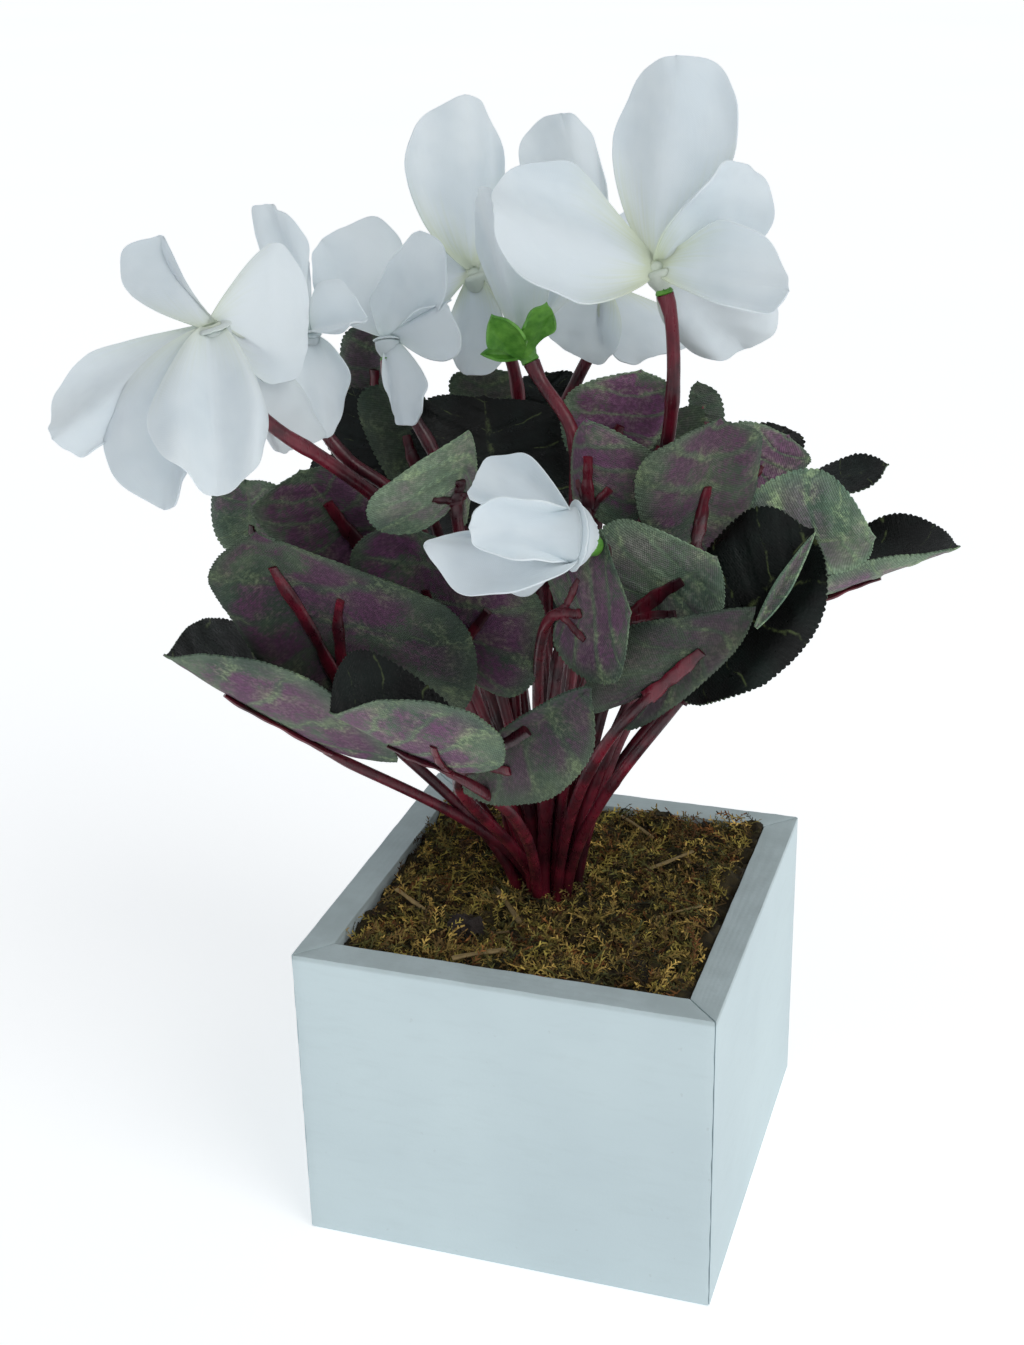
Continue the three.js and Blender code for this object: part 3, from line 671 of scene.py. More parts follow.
def apply(piece: Piece, kind: str, **settings: object) -> None:
    """Gives a piece a modifier and applies it.

    Args:
        piece: The piece.
        kind: The modifier's type.
        settings: Its settings.
    """
    pick(piece)
    modifier = piece.modifiers.new(kind.title(), kind)
    for key, value in settings.items():
        setattr(modifier, key, value)
    bpy.ops.object.modifier_apply(modifier=modifier.name)


def smooth(piece: Piece, degrees: float = 180) -> None:
    """Shades a piece smooth.

    Args:
        piece: The piece.
        degrees: The angle past which an edge stays sharp.
    """
    pick(piece)
    if degrees >= 180:
        bpy.ops.object.shade_smooth()
    else:
        bpy.ops.object.shade_smooth_by_angle(angle=math.radians(degrees))


def join(name: str, pieces: list[Piece]) -> Piece:
    """Joins pieces to one.

    Args:
        name: The new piece's name.
        pieces: The pieces, in their order.

    Returns:
        The new piece.
    """
    clear_bench()
    for piece in pieces:
        piece.select_set(True)
    bpy.context.view_layer.objects.active = pieces[0]
    bpy.ops.object.join()
    return named(name)


def tube(name: str, line: Places, radii: Places, sides: int = 10,
         press: tuple[Places, Places] | None = None) -> Piece:
    """Rolls a grid to a closed tube along a line.

    Args:
        name: The piece's name.
        line: The middle line, in millimetres of the plant's own frame.
        radii: The radius at each place of the line.
        sides: Faces round it.
        press: A direction, and how flat the tube is that way at each place of the line.

    Returns:
        The tube, with both ends closed, and a UV map of its turn and its length.
    """
    line = np.vstack([line[:1], line, line[-1:]])
    radii = np.concatenate([[0], radii, [0]])
    count = len(line)
    piece, turn, run = add_grid(name, sides, count - 1)
    ring = np.rint(run * (count - 1)).astype(int)
    heading = unit(np.gradient(line[1:-1], axis=0))
    heading = np.vstack([heading[:1], heading, heading[-1:]])
    out = unit(np.cross(heading[0], (0.3, 0.2, 1.0)))
    outs = []
    for direction in heading:
        out = unit(out - direction * np.dot(out, direction))
        outs.append(out)
    outs = np.array(outs)
    sideways = np.cross(heading, outs)
    angle = (turn * FULL_TURN)[:, None]
    offset = (outs[ring] * np.cos(angle) + sideways[ring] * np.sin(angle)) * radii[ring][:, None]
    if press is not None:
        direction, flat = press
        flat = np.concatenate([flat[:1], flat, flat[-1:]])
        offset -= np.outer((offset @ direction) * (1 - flat[ring]), direction)
    move_corners(piece, to_metres(line[ring] + offset))
    length = np.linalg.norm(np.diff(line, axis=0), axis=1).sum()
    map_surface(piece, "UVMap", np.stack([turn, run * length / 100], axis=1))
    weld(piece, closed=True)
    return piece


@dataclass(frozen=True)
class Relief:
    """How a blade's surface and edge depart from its plain form, in millimetres.

    Attributes:
        tooth: The pitch of the teeth on its edge, or 0 for none.
        depth: How deep the teeth are.
        veins: How many veins run to the edge on each half.
        furrow: How deep the veins are pressed.
        wave: How far the edge rises and falls.
        waves: How often it does so on each half.
        drift: How far the edge wanders in and out.
        curl: How far the edge bends to the upper side.
        thickness: The cloth's thickness.
        columns: Faces from the midrib to the edge.
        pitch: The length of a face along the edge.
    """

    tooth: float = 0
    depth: float = 0
    veins: int = 6
    furrow: float = 0.25
    wave: float = 0.5
    waves: float = 2.5
    drift: float = 0
    curl: float = 0
    thickness: float = 0.45
    columns: int = 9
    pitch: float = 0.9


@dataclass(frozen=True)
class Ring:
    """The ring of a bloom's throat that its petals are sewn round, in millimetres.

    Attributes:
        hub: Its middle.
        axis: The direction that it faces.
        radius: Its radius.
        spread: How far a petal's foot reaches round it to either side, in radians.
        reach: The share of a petal's length that bends to it.
    """

    hub: Point
    axis: Places
    radius: float
    spread: float
    reach: float = 0.5

    def gather(self, places: Places, blade: Blade, share: Places, out: Places) -> Places:
        """Bends the foot of a blade round the ring.

        Args:
            places: The blade's places.
            blade: Where the blade lies.
            share: The share of the length of each place.
            out: The share of the foot's half width of each place, below 0 on the left.

        Returns:
            The bent places.
        """
        middle = (np.array(blade.tip, float) * 2 + blade.left + blade.right) / 4 - self.hub
        ahead = unit(middle - self.axis * np.dot(middle, self.axis))
        across = np.cross(self.axis, ahead)
        across *= np.sign(np.dot(across, np.subtract(blade.right, blade.left))) or 1
        angle = (np.clip(out, -1.3, 1.3) * self.spread)[:, None]
        seat = self.hub + self.radius * (ahead * np.cos(angle) + across * np.sin(angle))
        hold = (1 - ease(share, 0, self.reach))[:, None]
        return places * (1 - hold) + seat * hold


def cut_blade(name: str, blade: Blade, outline: Outline, relief: Relief, seed: int,
              print_and_light_values: Point, cloths: tuple[Finish, ...],
              ring: Ring | None = None) -> Piece:
    """Cuts a blade from a grid, presses its veins and gives it its thickness.

    Args:
        name: The piece's name.
        blade: Where it lies.
        outline: Its outline.
        relief: Its surface and edge.
        seed: What makes this blade's unevenness its own.
        print_and_light_values: Three numbers that its cloth reads, such as a leaf's painted light
            and purple.
        cloths: The material of its upper side, and of its underside where that differs.
        ring: The ring that its foot is bent round.

    Returns:
        The blade.
    """
    shares = np.linspace(0, 1, RIM_STEPS)
    edge = outline.edge(shares, blade.lobe)
    rims = [blade.place(edge[:, 0], side * edge[:, 1], outline) for side in (-1, 1)]
    steps = sum(np.linalg.norm(np.diff(rim, axis=0), axis=1) for rim in rims) / 2
    run = np.concatenate([[0], np.cumsum(steps)])
    teeth = max(4, round(run[-1] / relief.tooth)) if relief.tooth else 0
    rows = 4 * teeth if teeth else max(12, round(run[-1] / relief.pitch))
    piece, across, down = add_grid(name, 2 * relief.columns, rows)
    share = np.interp(down * run[-1], run, shares)
    side = 2 * across - 1
    right = side > 0
    out = np.abs(side) ** 0.85  # the faces are a little narrower towards the edge
    edge = outline.edge(share, blade.lobe)
    foot = share**1.5  # where the same row of faces starts on the midrib
    u = foot * (1 - out) + edge[:, 0] * out
    hand = np.where(right, 1, -1)
    v = edge[:, 1] * out
    places = blade.place(u, v * hand, outline)
    inner = blade.place(foot, np.zeros_like(foot), outline)
    rim = blade.place(edge[:, 0], edge[:, 1] * hand, outline)
    reach = np.linalg.norm(rim - inner, axis=1)
    outward = unit(rim - inner)
    middle = np.sin(math.pi * np.clip(share, 0, 1)) ** 0.5
    if teeth:
        beat = np.abs(np.sin(math.pi * teeth * down))
        ragged = 0.75 + 0.35 * np.sin(down * teeth * 2.3 + seed + 9 * right)
        notch = ease(out, 0.9, 1) * relief.depth * (beat - 0.6) * ragged
        places += outward * (notch * ease(reach, 0.5, 4))[:, None]
    wander = np.sin(11 * share + seed) + 0.7 * np.sin(27 * share + 3 * seed + 5 * right)
    places += outward * (relief.drift * wander * out**3 * middle * ease(reach, 1, 6))[:, None]
    vein = np.cos(FULL_TURN * relief.veins * (share + 0.05 * np.sin(seed + 3 * right)))
    press = -relief.furrow * ease(vein, 0.35, 1) * ease(out, 0, 0.12) * (1 - 0.75 * out)
    beats = FULL_TURN * (relief.waves * share + 0.21 * seed + 0.37 * right)
    ruffle = relief.wave * out**3 * middle * np.sin(beats) * ease(reach, 1, 6)
    curl = relief.curl * out**2 * middle
    uneven = 0.35 * swell(places, seed, 19) + 0.08 * swell(places, seed + 2, 8)
    uneven *= ease(reach, 1, 8)
    places += blade.upward * (press + ruffle + curl + uneven * relief.wave)[:, None]
    if ring is not None:
        places = ring.gather(places, blade, u, v * hand / outline.knots[0][1])
    move_corners(piece, to_metres(places))
    map_surface(piece, "UVMap", np.stack([0.5 + 0.5 * side, share], axis=1))
    length = np.linalg.norm(blade.along)
    width = np.linalg.norm(np.subtract(blade.right, blade.left))
    flat = np.stack([v * np.sign(side) * width / 2, u * length], axis=1)
    map_surface(piece, "Cloth", flat / CLOTH_UNIT)
    # for leaves, the painted light and shade rides here with the print
    tint(piece, "Print", np.array(print_and_light_values))
    for cloth in cloths:
        piece.data.materials.append(cloth)
    weld(piece, closed=False)
    apply(piece, "SOLIDIFY", thickness=relief.thickness * MM, offset=0, use_rim=True,
          material_offset=len(cloths) - 1, material_offset_rim=len(cloths) - 1)
    smooth(piece, 50)
    return piece


# ---------------------------------------------------------------- finishes


def colour(red: int, green: int, blue: int) -> tuple[float, float, float, float]:
    """Turns display values to the shader's own linear colour.

    Args:
        red: Red, 0 to 255.
        green: Green, 0 to 255.
        blue: Blue, 0 to 255.

    Returns:
        Red, green, blue and full cover.
    """
    linear = [((c / 255 + 0.055) / 1.055) ** 2.4 if c > 10 else c / 255 / 12.92
              for c in (red, green, blue)]
    return (*linear, 1.0)


class Recipe:
    """The nodes of one material."""

    def __init__(self, name: str) -> None:
        """Starts a material with a plain shader.

        Args:
            name: The material's name.
        """
        self.material = bpy.data.materials.new(name)
        self.material.use_nodes = True
        self.tree = self.material.node_tree
        self.shader = self.tree.nodes["Principled BSDF"]

    def add(self, kind: str, *inputs: object, **settings: object) -> bpy.types.Node:
        """Adds a node.

        Args:
            kind: The node's type, without "ShaderNode".
            inputs: Sockets or values for its inputs, in order, None to leave one.
            settings: Its own settings, and inputs by name with _ for a space.

        Returns:
            The node.
        """
        node = self.tree.nodes.new("ShaderNode" + kind)
        for key, value in settings.items():
            label = key.replace("_", " ")
            if label in node.inputs:
                self.feed(node.inputs[label], value)
            else:
                setattr(node, key, value)
        for socket, value in zip(node.inputs, inputs):
            if value is not None:
                self.feed(socket, value)
        return node

    def feed(self, socket: Socket, value: object) -> None:
        """Links a socket to another, or sets its value.

        Args:
            socket: The input.
            value: What it gets: a socket or a value.
        """
        if isinstance(value, Socket):
            self.tree.links.new(value, socket)
        else:
            socket.default_value = value

    def maths(self, operation: str, *inputs: object) -> Socket:
        """A sum on numbers."""
        return self.add("Math", *inputs, operation=operation).outputs[0]

    def object_place(self, scale: Point = (1, 1, 1)) -> Socket:
        """Object coordinates in metres, scaled."""
        place = self.add("TexCoord").outputs["Object"]
        return self.add("Mapping", place, Scale=scale).outputs[0]

    def cloth_place(self, layer: str, scale: Point = (1, 1, 1)) -> Socket:
        """A UV map's coordinates, scaled."""
        place = self.add("UVMap", uv_map=layer).outputs[0]
        return self.add("Mapping", place, Scale=scale).outputs[0]

    def noise(self, place: Socket, scale: float, detail: float = 3, rough: float = 0.5,
              warp: float = 0) -> Socket:
        """Cloudy noise, 0 to 1."""
        return self.add("TexNoise", Vector=place, Scale=scale, Detail=detail, Roughness=rough,
                        Distortion=warp).outputs[0]

    def ramp(self, value: Socket, start: float, end: float, low: float = 0,
             high: float = 1) -> Socket:
        """Takes value from start..end to low..high, smoothly."""
        return self.add("MapRange", value, start, end, low, high,
                        interpolation_type="SMOOTHSTEP").outputs[0]

    def blend(self, share: Socket | float, first: Socket | Shade,
              second: Socket | Shade) -> Socket:
        """Mixes two colours.

        Args:
            share: How much of the second, 0 to 1.
            first: The first colour, from a socket or by its display values.
            second: The second colour, in the same way.

        Returns:
            The mixed colour.
        """
        node = self.add("Mix", data_type="RGBA", clamp_factor=True)
        self.feed(node.inputs[0], share)
        for index, shade in ((6, first), (7, second)):
            self.feed(node.inputs[index], colour(*shade) if isinstance(shade, tuple) else shade)
        return node.outputs[2]

    def bump(self, height: Socket, strength: float, depth: float,
             under: Socket | None = None) -> Socket:
        """Raises bumps.

        Args:
            height: The height, 0 to 1.
            strength: How strongly it shows, 0 to 1.
            depth: How deep it is, in metres.
            under: The bumps that it lies on.

        Returns:
            The bent normal.
        """
        node = self.add("Bump", Strength=strength, Distance=depth, Height=height)
        if under is not None:
            self.feed(node.inputs["Normal"], under)
        return node.outputs[0]

    def shade(self, **sockets: object) -> Finish:
        """Feeds the shader.

        Args:
            sockets: Its inputs by name, with _ for a space.

        Returns:
            The material.
        """
        for key, value in sockets.items():
            self.feed(self.shader.inputs[key.replace("_", " ")], value)
        return self.material


@dataclass(frozen=True)
class Paint:
    """Matt pale paint on smooth wood, thin along the grain, with painted shade along the top of the
    rim.

    Attributes:
        light: Its lighter clouds.
        dull: Its duller clouds.
        worn: Where it is thin along the grain, and the painted shade along the top of the rim.
        fleck: Small flecks of dirt.
        roughness: How rough it is.
        rim: The height of the rim, in metres.
    """

    light: Shade = (207, 223, 227)
    dull: Shade = (197, 213, 218)
    worn: Shade = (176, 191, 193)
    fleck: Shade = (110, 112, 100)
    roughness: float = 0.62
    rim: float = 0.0922

    def material(self) -> Finish:
        """Mixes the paint.

        Returns:
            The material.
        """
        recipe = Recipe("painted wood")
        place = recipe.object_place()
        grain = recipe.noise(recipe.object_place((30, 30, 120)), 3, 5, 0.6, 0.2)
        cloud = recipe.noise(place, 11, 3, 0.55)
        speck = recipe.ramp(recipe.noise(place, 380, 2, 0.5), 0.72, 0.78)
        base = recipe.blend(recipe.ramp(cloud, 0.3, 0.75), self.light, self.dull)
        base = recipe.blend(recipe.ramp(grain, 0.45, 0.8, 0, 0.12), base, self.worn)
        # painted shade: the top of the rim is darkened towards worn, broken up by noise
        height = recipe.add("SeparateXYZ", place).outputs[2]
        rim = recipe.maths("MULTIPLY", recipe.ramp(height, self.rim - 0.0012, self.rim, 0, 0.8),
                           recipe.ramp(recipe.noise(place, 90, 4, 0.6), 0.25, 0.7, 0.45, 1))
        base = recipe.blend(rim, base, self.worn)
        base = recipe.blend(recipe.maths("MULTIPLY", speck, 0.1), base, self.fleck)
        bump = recipe.bump(grain, 0.12, 0.0004)
        bump = recipe.bump(recipe.noise(place, 900, 3, 0.6), 0.2, 0.0003, bump)
        return recipe.shade(Base_Color=base, Roughness=self.roughness, Normal=bump)


@dataclass(frozen=True)
class Fibre:
    """Dry plant stuff whose colour comes from the piece's own tint.

    Attributes:
        name: The material's name.
        roughness: How rough it is.
        strength: How strong its grain is.
        deep: The colour between its fibres.
    """

    name: str
    roughness: float = 0.9
    strength: float = 0.5
    deep: Shade = (18, 14, 7)

    def material(self) -> Finish:
        """Mixes the finish.

        Returns:
            The material.
        """
        recipe = Recipe(self.name)
        base = recipe.add("VertexColor", layer_name="Tint").outputs[0]
        grain = recipe.noise(recipe.object_place(), 700, 3, 0.6)
        base = recipe.blend(recipe.ramp(grain, 0.3, 0.8, 0, 0.45), base, self.deep)
        return recipe.shade(Base_Color=base, Roughness=self.roughness,
                            Normal=recipe.bump(grain, self.strength, 0.0008))


@dataclass(frozen=True)
class StemPlastic:
    """Dark red moulded plastic with a worn gloss.

    Attributes:
        dark: Its darker clouds.
        red: Its redder clouds.
        streaked: The streaks along it.
    """

    dark: Shade = (50, 14, 24)
    red: Shade = (116, 28, 46)
    streaked: Shade = (30, 10, 16)

    def material(self) -> Finish:
        """Mixes the plastic.

        Returns:
            The material.
        """
        recipe = Recipe("dark red plastic")
        place = recipe.object_place()
        cloud = recipe.noise(place, 70, 4, 0.6)
        streak = recipe.noise(recipe.object_place((700, 700, 60)), 1, 3, 0.6)
        base = recipe.blend(recipe.ramp(cloud, 0.35, 0.7), self.dark, self.red)
        base = recipe.blend(recipe.ramp(streak, 0.45, 0.8, 0, 0.35), base, self.streaked)
        rough = recipe.ramp(streak, 0.3, 0.7, 0.24, 0.42)
        bump = recipe.bump(recipe.noise(place, 500, 3, 0.6), 0.3, 0.0004)
        bump = recipe.bump(streak, 0.2, 0.0004, bump)
        return recipe.shade(Base_Color=base, Roughness=rough, Normal=bump)


def leaf_veins(recipe: Recipe) -> tuple[Socket, Socket, Socket]:
    """The veins of a leaf's cloth, from its UV map.

    Args:
        recipe: The material that they are drawn in.

    Returns:
        How far the nearest side vein is, 0 to 0.5, how near the midrib is, and the share from the
        midrib to the edge.
    """
    split = recipe.add("SeparateXYZ", recipe.cloth_place("UVMap"))
    out = recipe.maths("ABSOLUTE", recipe.maths("SUBTRACT", split.outputs[0], 0.5))
    out = recipe.maths("MULTIPLY", out, 2.0)
    wander = recipe.noise(recipe.object_place(), 120, 2, 0.5)
    run = recipe.maths("MULTIPLY_ADD", wander, 0.09, split.outputs[1])
    beat = recipe.maths("PINGPONG", recipe.maths("MULTIPLY", run, 6.0), 0.5)
    return beat, recipe.ramp(out, 0.0, 0.05, 1, 0), out


def weave(recipe: Recipe, threads: float) -> Socket:
    """A plain weave on the cloth's own map.

    Args:
        recipe: The material that it is drawn in.
        threads: Threads in a millimetre.

    Returns:
        The height of the threads, 0 to 1.
    """
    split = recipe.add("SeparateXYZ", recipe.cloth_place("Cloth"))
    turns = FULL_TURN * threads * CLOTH_UNIT
    waves = [recipe.maths("SINE", recipe.maths("MULTIPLY", split.outputs[k], turns))
             for k in (0, 1)]
    return recipe.maths("MULTIPLY_ADD", recipe.maths("MULTIPLY", *waves), 0.5, 0.5)


@dataclass(frozen=True)
class LeafTop:
    """The printed upper side of a leaf: nearly black green with thin pale veins, and a gloss.

    Attributes:
        deep: Its darker clouds.
        green: Its greener clouds.
        pale: Its veins.
    """

    deep: Shade = (7, 9, 8)
    green: Shade = (17, 28, 24)
    pale: Shade = (88, 100, 62)

    def material(self) -> Finish:
        """Mixes the cloth.

        Returns:
            The material.
        """
        recipe = Recipe("leaf cloth, upper side")
        place = recipe.object_place()
        beat, rib, _ = leaf_veins(recipe)
        cloud = recipe.noise(place, 60, 4, 0.6)
        base = recipe.blend(recipe.ramp(cloud, 0.4, 0.72), self.deep, self.green)
        broken = recipe.ramp(recipe.noise(place, 210, 4, 0.65), 0.46, 0.6)
        line = recipe.maths("MAXIMUM", recipe.ramp(beat, 0.0, 0.04, 1, 0), rib)
        vein = recipe.maths("MULTIPLY", line, broken)
        base = recipe.blend(recipe.maths("MULTIPLY", vein, 0.75), base, self.pale)
        threads = weave(recipe, 1.6)
        bump = recipe.bump(threads, 0.25, 0.0003)
        bump = recipe.bump(recipe.noise(place, 1100, 2, 0.6), 0.6, 0.0004, bump)
        rough = recipe.ramp(recipe.noise(place, 300, 3, 0.6), 0.3, 0.7, 0.26, 0.44)
        return recipe.shade(Base_Color=base, Roughness=rough, Specular_IOR_Level=0.24, Normal=bump)


@dataclass(frozen=True)
class LeafUnderside:
    """The printed underside of a leaf: sage canvas with soft purple patches between paler veins.

    Attributes:
        sage: Its ground.
        moss: The darker clouds of its ground.
        purple: Its patches.
        pale: Its veins and mottle.
        thread: The tops of its threads.
        pore: The gaps between them.
    """

    sage: Shade = (110, 128, 106)
    moss: Shade = (70, 90, 76)
    purple: Shade = (116, 60, 106)
    pale: Shade = (148, 166, 124)
    thread: Shade = (24, 32, 26)
    pore: Shade = (26, 34, 30)

    def material(self) -> Finish:
        """Mixes the cloth.

        Returns:
            The material.
        """
        recipe = Recipe("leaf cloth, underside")
        place = recipe.object_place()
        beat, rib, out = leaf_veins(recipe)
        values = recipe.add("VertexColor", layer_name="Print").outputs[0]
        tone, purple, seed = recipe.add("SeparateColor", values).outputs
        shift = recipe.add("CombineXYZ", seed, seed, 0.0).outputs[0]
        shifted = recipe.add("VectorMath", place, shift, operation="ADD").outputs[0]
        threads = weave(recipe, 1.5)
        fine = recipe.noise(shifted, 900, 3, 0.75)
        grain = recipe.maths("MULTIPLY_ADD", threads, 0.1, -0.26)
        grain = recipe.maths("MULTIPLY_ADD", fine, 0.42, grain)

        def soft(noise: Socket, start: float, end: float, high: float = 1) -> Socket:
            """A printed patch, its edge broken up by the grain of the cloth."""
            return recipe.ramp(recipe.maths("ADD", noise, grain), start, end, 0, high)

        ground = soft(recipe.noise(shifted, 40, 3, 0.6), 0.36, 0.64)
        base = recipe.blend(ground, self.sage, self.moss)
        patch = soft(recipe.noise(shifted, 62, 3, 0.6, 0.3), 0.34, 0.56)
        inside = recipe.ramp(out, 0.6, 1.0, 1, 0.05)
        between = recipe.ramp(beat, 0.02, 0.16, 0.25, 1)
        share = recipe.maths("MULTIPLY", recipe.maths("MULTIPLY", patch, inside),
                             recipe.maths("MULTIPLY", between, purple))
        base = recipe.blend(recipe.maths("MINIMUM", share, 0.85), base, self.purple)
        mottle = recipe.maths("MULTIPLY", soft(recipe.noise(shifted, 120, 5, 0.7), 0.46, 0.72, 0.7),
                              recipe.ramp(beat, 0.0, 0.4, 1, 0.3))
        line = recipe.maths("MAXIMUM", recipe.ramp(beat, 0.0, 0.05, 1, 0), rib)
        faded = recipe.ramp(recipe.noise(place, 130, 3, 0.6), 0.42, 0.66, 0, 0.4)
        vein = recipe.maths("MULTIPLY", line, faded)
        base = recipe.blend(recipe.maths("MAXIMUM", mottle, vein), base, self.pale)
        base = recipe.blend(recipe.maths("MULTIPLY", threads, 0.3), base, self.thread)
        base = recipe.blend(recipe.ramp(fine, 0.42, 0.62, 0.4, 0), base, self.pore)
        # painted light and shade: the whole underside is scaled by the leaf's painted light
        scaled = recipe.add("VectorMath", base, operation="SCALE")
        recipe.feed(scaled.inputs["Scale"], tone)
        bump = recipe.bump(threads, 0.5, 0.0004)
        return recipe.shade(Base_Color=scaled.outputs[0], Roughness=0.75, Sheen_Weight=0.06,
                            Specular_IOR_Level=0.18, Normal=bump)


@dataclass(frozen=True)
class PetalCloth:
    """Fine white cloth, cream at the foot of the petal.

    Attributes:
        white: Its lighter clouds.
        shaded: Its duller clouds.
        cream: The foot of the petal.
    """

    white: Shade = (222, 233, 239)
    shaded: Shade = (208, 221, 229)
    cream: Shade = (206, 216, 184)

    def material(self) -> Finish:
        """Mixes the cloth.

        Returns:
            The material.
        """
        recipe = Recipe("petal cloth")
        place = recipe.object_place()
        split = recipe.add("SeparateXYZ", recipe.cloth_place("UVMap"))
        values = recipe.add("VertexColor", layer_name="Print").outputs[0]
        cream = recipe.add("SeparateColor", values).outputs[0]
        cloud = recipe.ramp(recipe.noise(place, 40, 3, 0.55), 0.4, 0.75)
        base = recipe.blend(cloud, self.white, self.shaded)
        ray = recipe.noise(recipe.cloth_place("UVMap", (26, 2, 1)), 1, 3, 0.6)
        start = recipe.maths("MULTIPLY_ADD", ray, 0.2, split.outputs[1])
        foot = recipe.maths("MULTIPLY", recipe.ramp(start, 0.16, 0.6, 1, 0), cream)
        base = recipe.blend(recipe.maths("MINIMUM", foot, 0.9), base, self.cream)
        threads = weave(recipe, 2.0)
        bump = recipe.bump(ray, 0.06, 0.0006)
        bump = recipe.bump(threads, 0.08, 0.0002, bump)
        return recipe.shade(Base_Color=base, Roughness=0.6, Sheen_Weight=0.15, Normal=bump,
                            Subsurface_Weight=0.4, Subsurface_Radius=(0.005, 0.005, 0.0045),
                            Subsurface_Scale=0.6)


@dataclass(frozen=True)
class SepalPlastic:
    """Bright green soft plastic in lighter and darker clouds.

    Attributes:
        green: Its darker clouds.
        light: Its lighter clouds.
    """

    green: Shade = (70, 130, 44)
    light: Shade = (112, 172, 70)

    def material(self) -> Finish:
        """Mixes the plastic.

        Returns:
            The material.
        """
        recipe = Recipe("green plastic")
        place = recipe.object_place()
        cloud = recipe.noise(place, 220, 4, 0.6)
        base = recipe.blend(recipe.ramp(cloud, 0.35, 0.7), self.green, self.light)
        bump = recipe.bump(recipe.noise(place, 700, 3, 0.6), 0.35, 0.0004)
        return recipe.shade(Base_Color=base, Roughness=0.42, Normal=bump)


@dataclass(frozen=True)
class Foam:
    """Dry dark green florist's foam.

    Attributes:
        green: Its colour.
        pore: The colour of its pores.
    """

    green: Shade = (74, 88, 56)
    pore: Shade = (38, 48, 28)

    def material(self) -> Finish:
        """Mixes the finish.

        Returns:
            The material.
        """
        recipe = Recipe("foam")
        grain = recipe.noise(recipe.object_place(), 900, 3, 0.7)
        base = recipe.blend(recipe.ramp(grain, 0.3, 0.8), self.green, self.pore)
        return recipe.shade(Base_Color=base, Roughness=0.95,
                            Normal=recipe.bump(grain, 0.6, 0.0008))


@dataclass(frozen=True)
class FloorFinish:
    """Plain pale studio floor.

    Attributes:
        pale: Its lighter clouds.
        dull: Its duller clouds.
        glow: How much it shines by itself.
    """

    pale: Shade = (246, 247, 248)
    dull: Shade = (242, 243, 245)
    glow: float = 0.42

    def material(self) -> Finish:
        """Mixes the finish.

        Returns:
            The material.
        """
        recipe = Recipe("studio floor")
        cloud = recipe.noise(recipe.object_place(), 1.5, 2, 0.5)
        base = recipe.blend(recipe.ramp(cloud, 0.2, 0.9), self.pale, self.dull)
        return recipe.shade(Base_Color=base, Roughness=0.9, Emission_Color=(1, 1, 1, 1),
                            Emission_Strength=self.glow)


# ---------------------------------------------------------------- sub-assemblies


class Slot(Enum):
    """The record's finishes, one named with each piece as it is handed over."""

    PAINT = "box_paint"
    MOSS = "moss"
    STEM = "stem_plastic"
    LEAF = "leaf_fabric"
    PETAL = "petal_fabric"
    SEPAL = "sepal_plastic"


def deliver(piece: Piece, slot: Slot, *nodes: str) -> None:
    """Hands a finished piece over: it rides on the part and stands for its CAD nodes.

    Args:
        piece: The finished piece, at the origin.
        slot: Not used.
        nodes: The CAD nodes that it stands for.
    """
    clear_bench()
    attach(piece, "root")
    if nodes:
        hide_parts(*nodes)
    LOG.info("%s: %d faces", piece.name, len(piece.data.polygons))


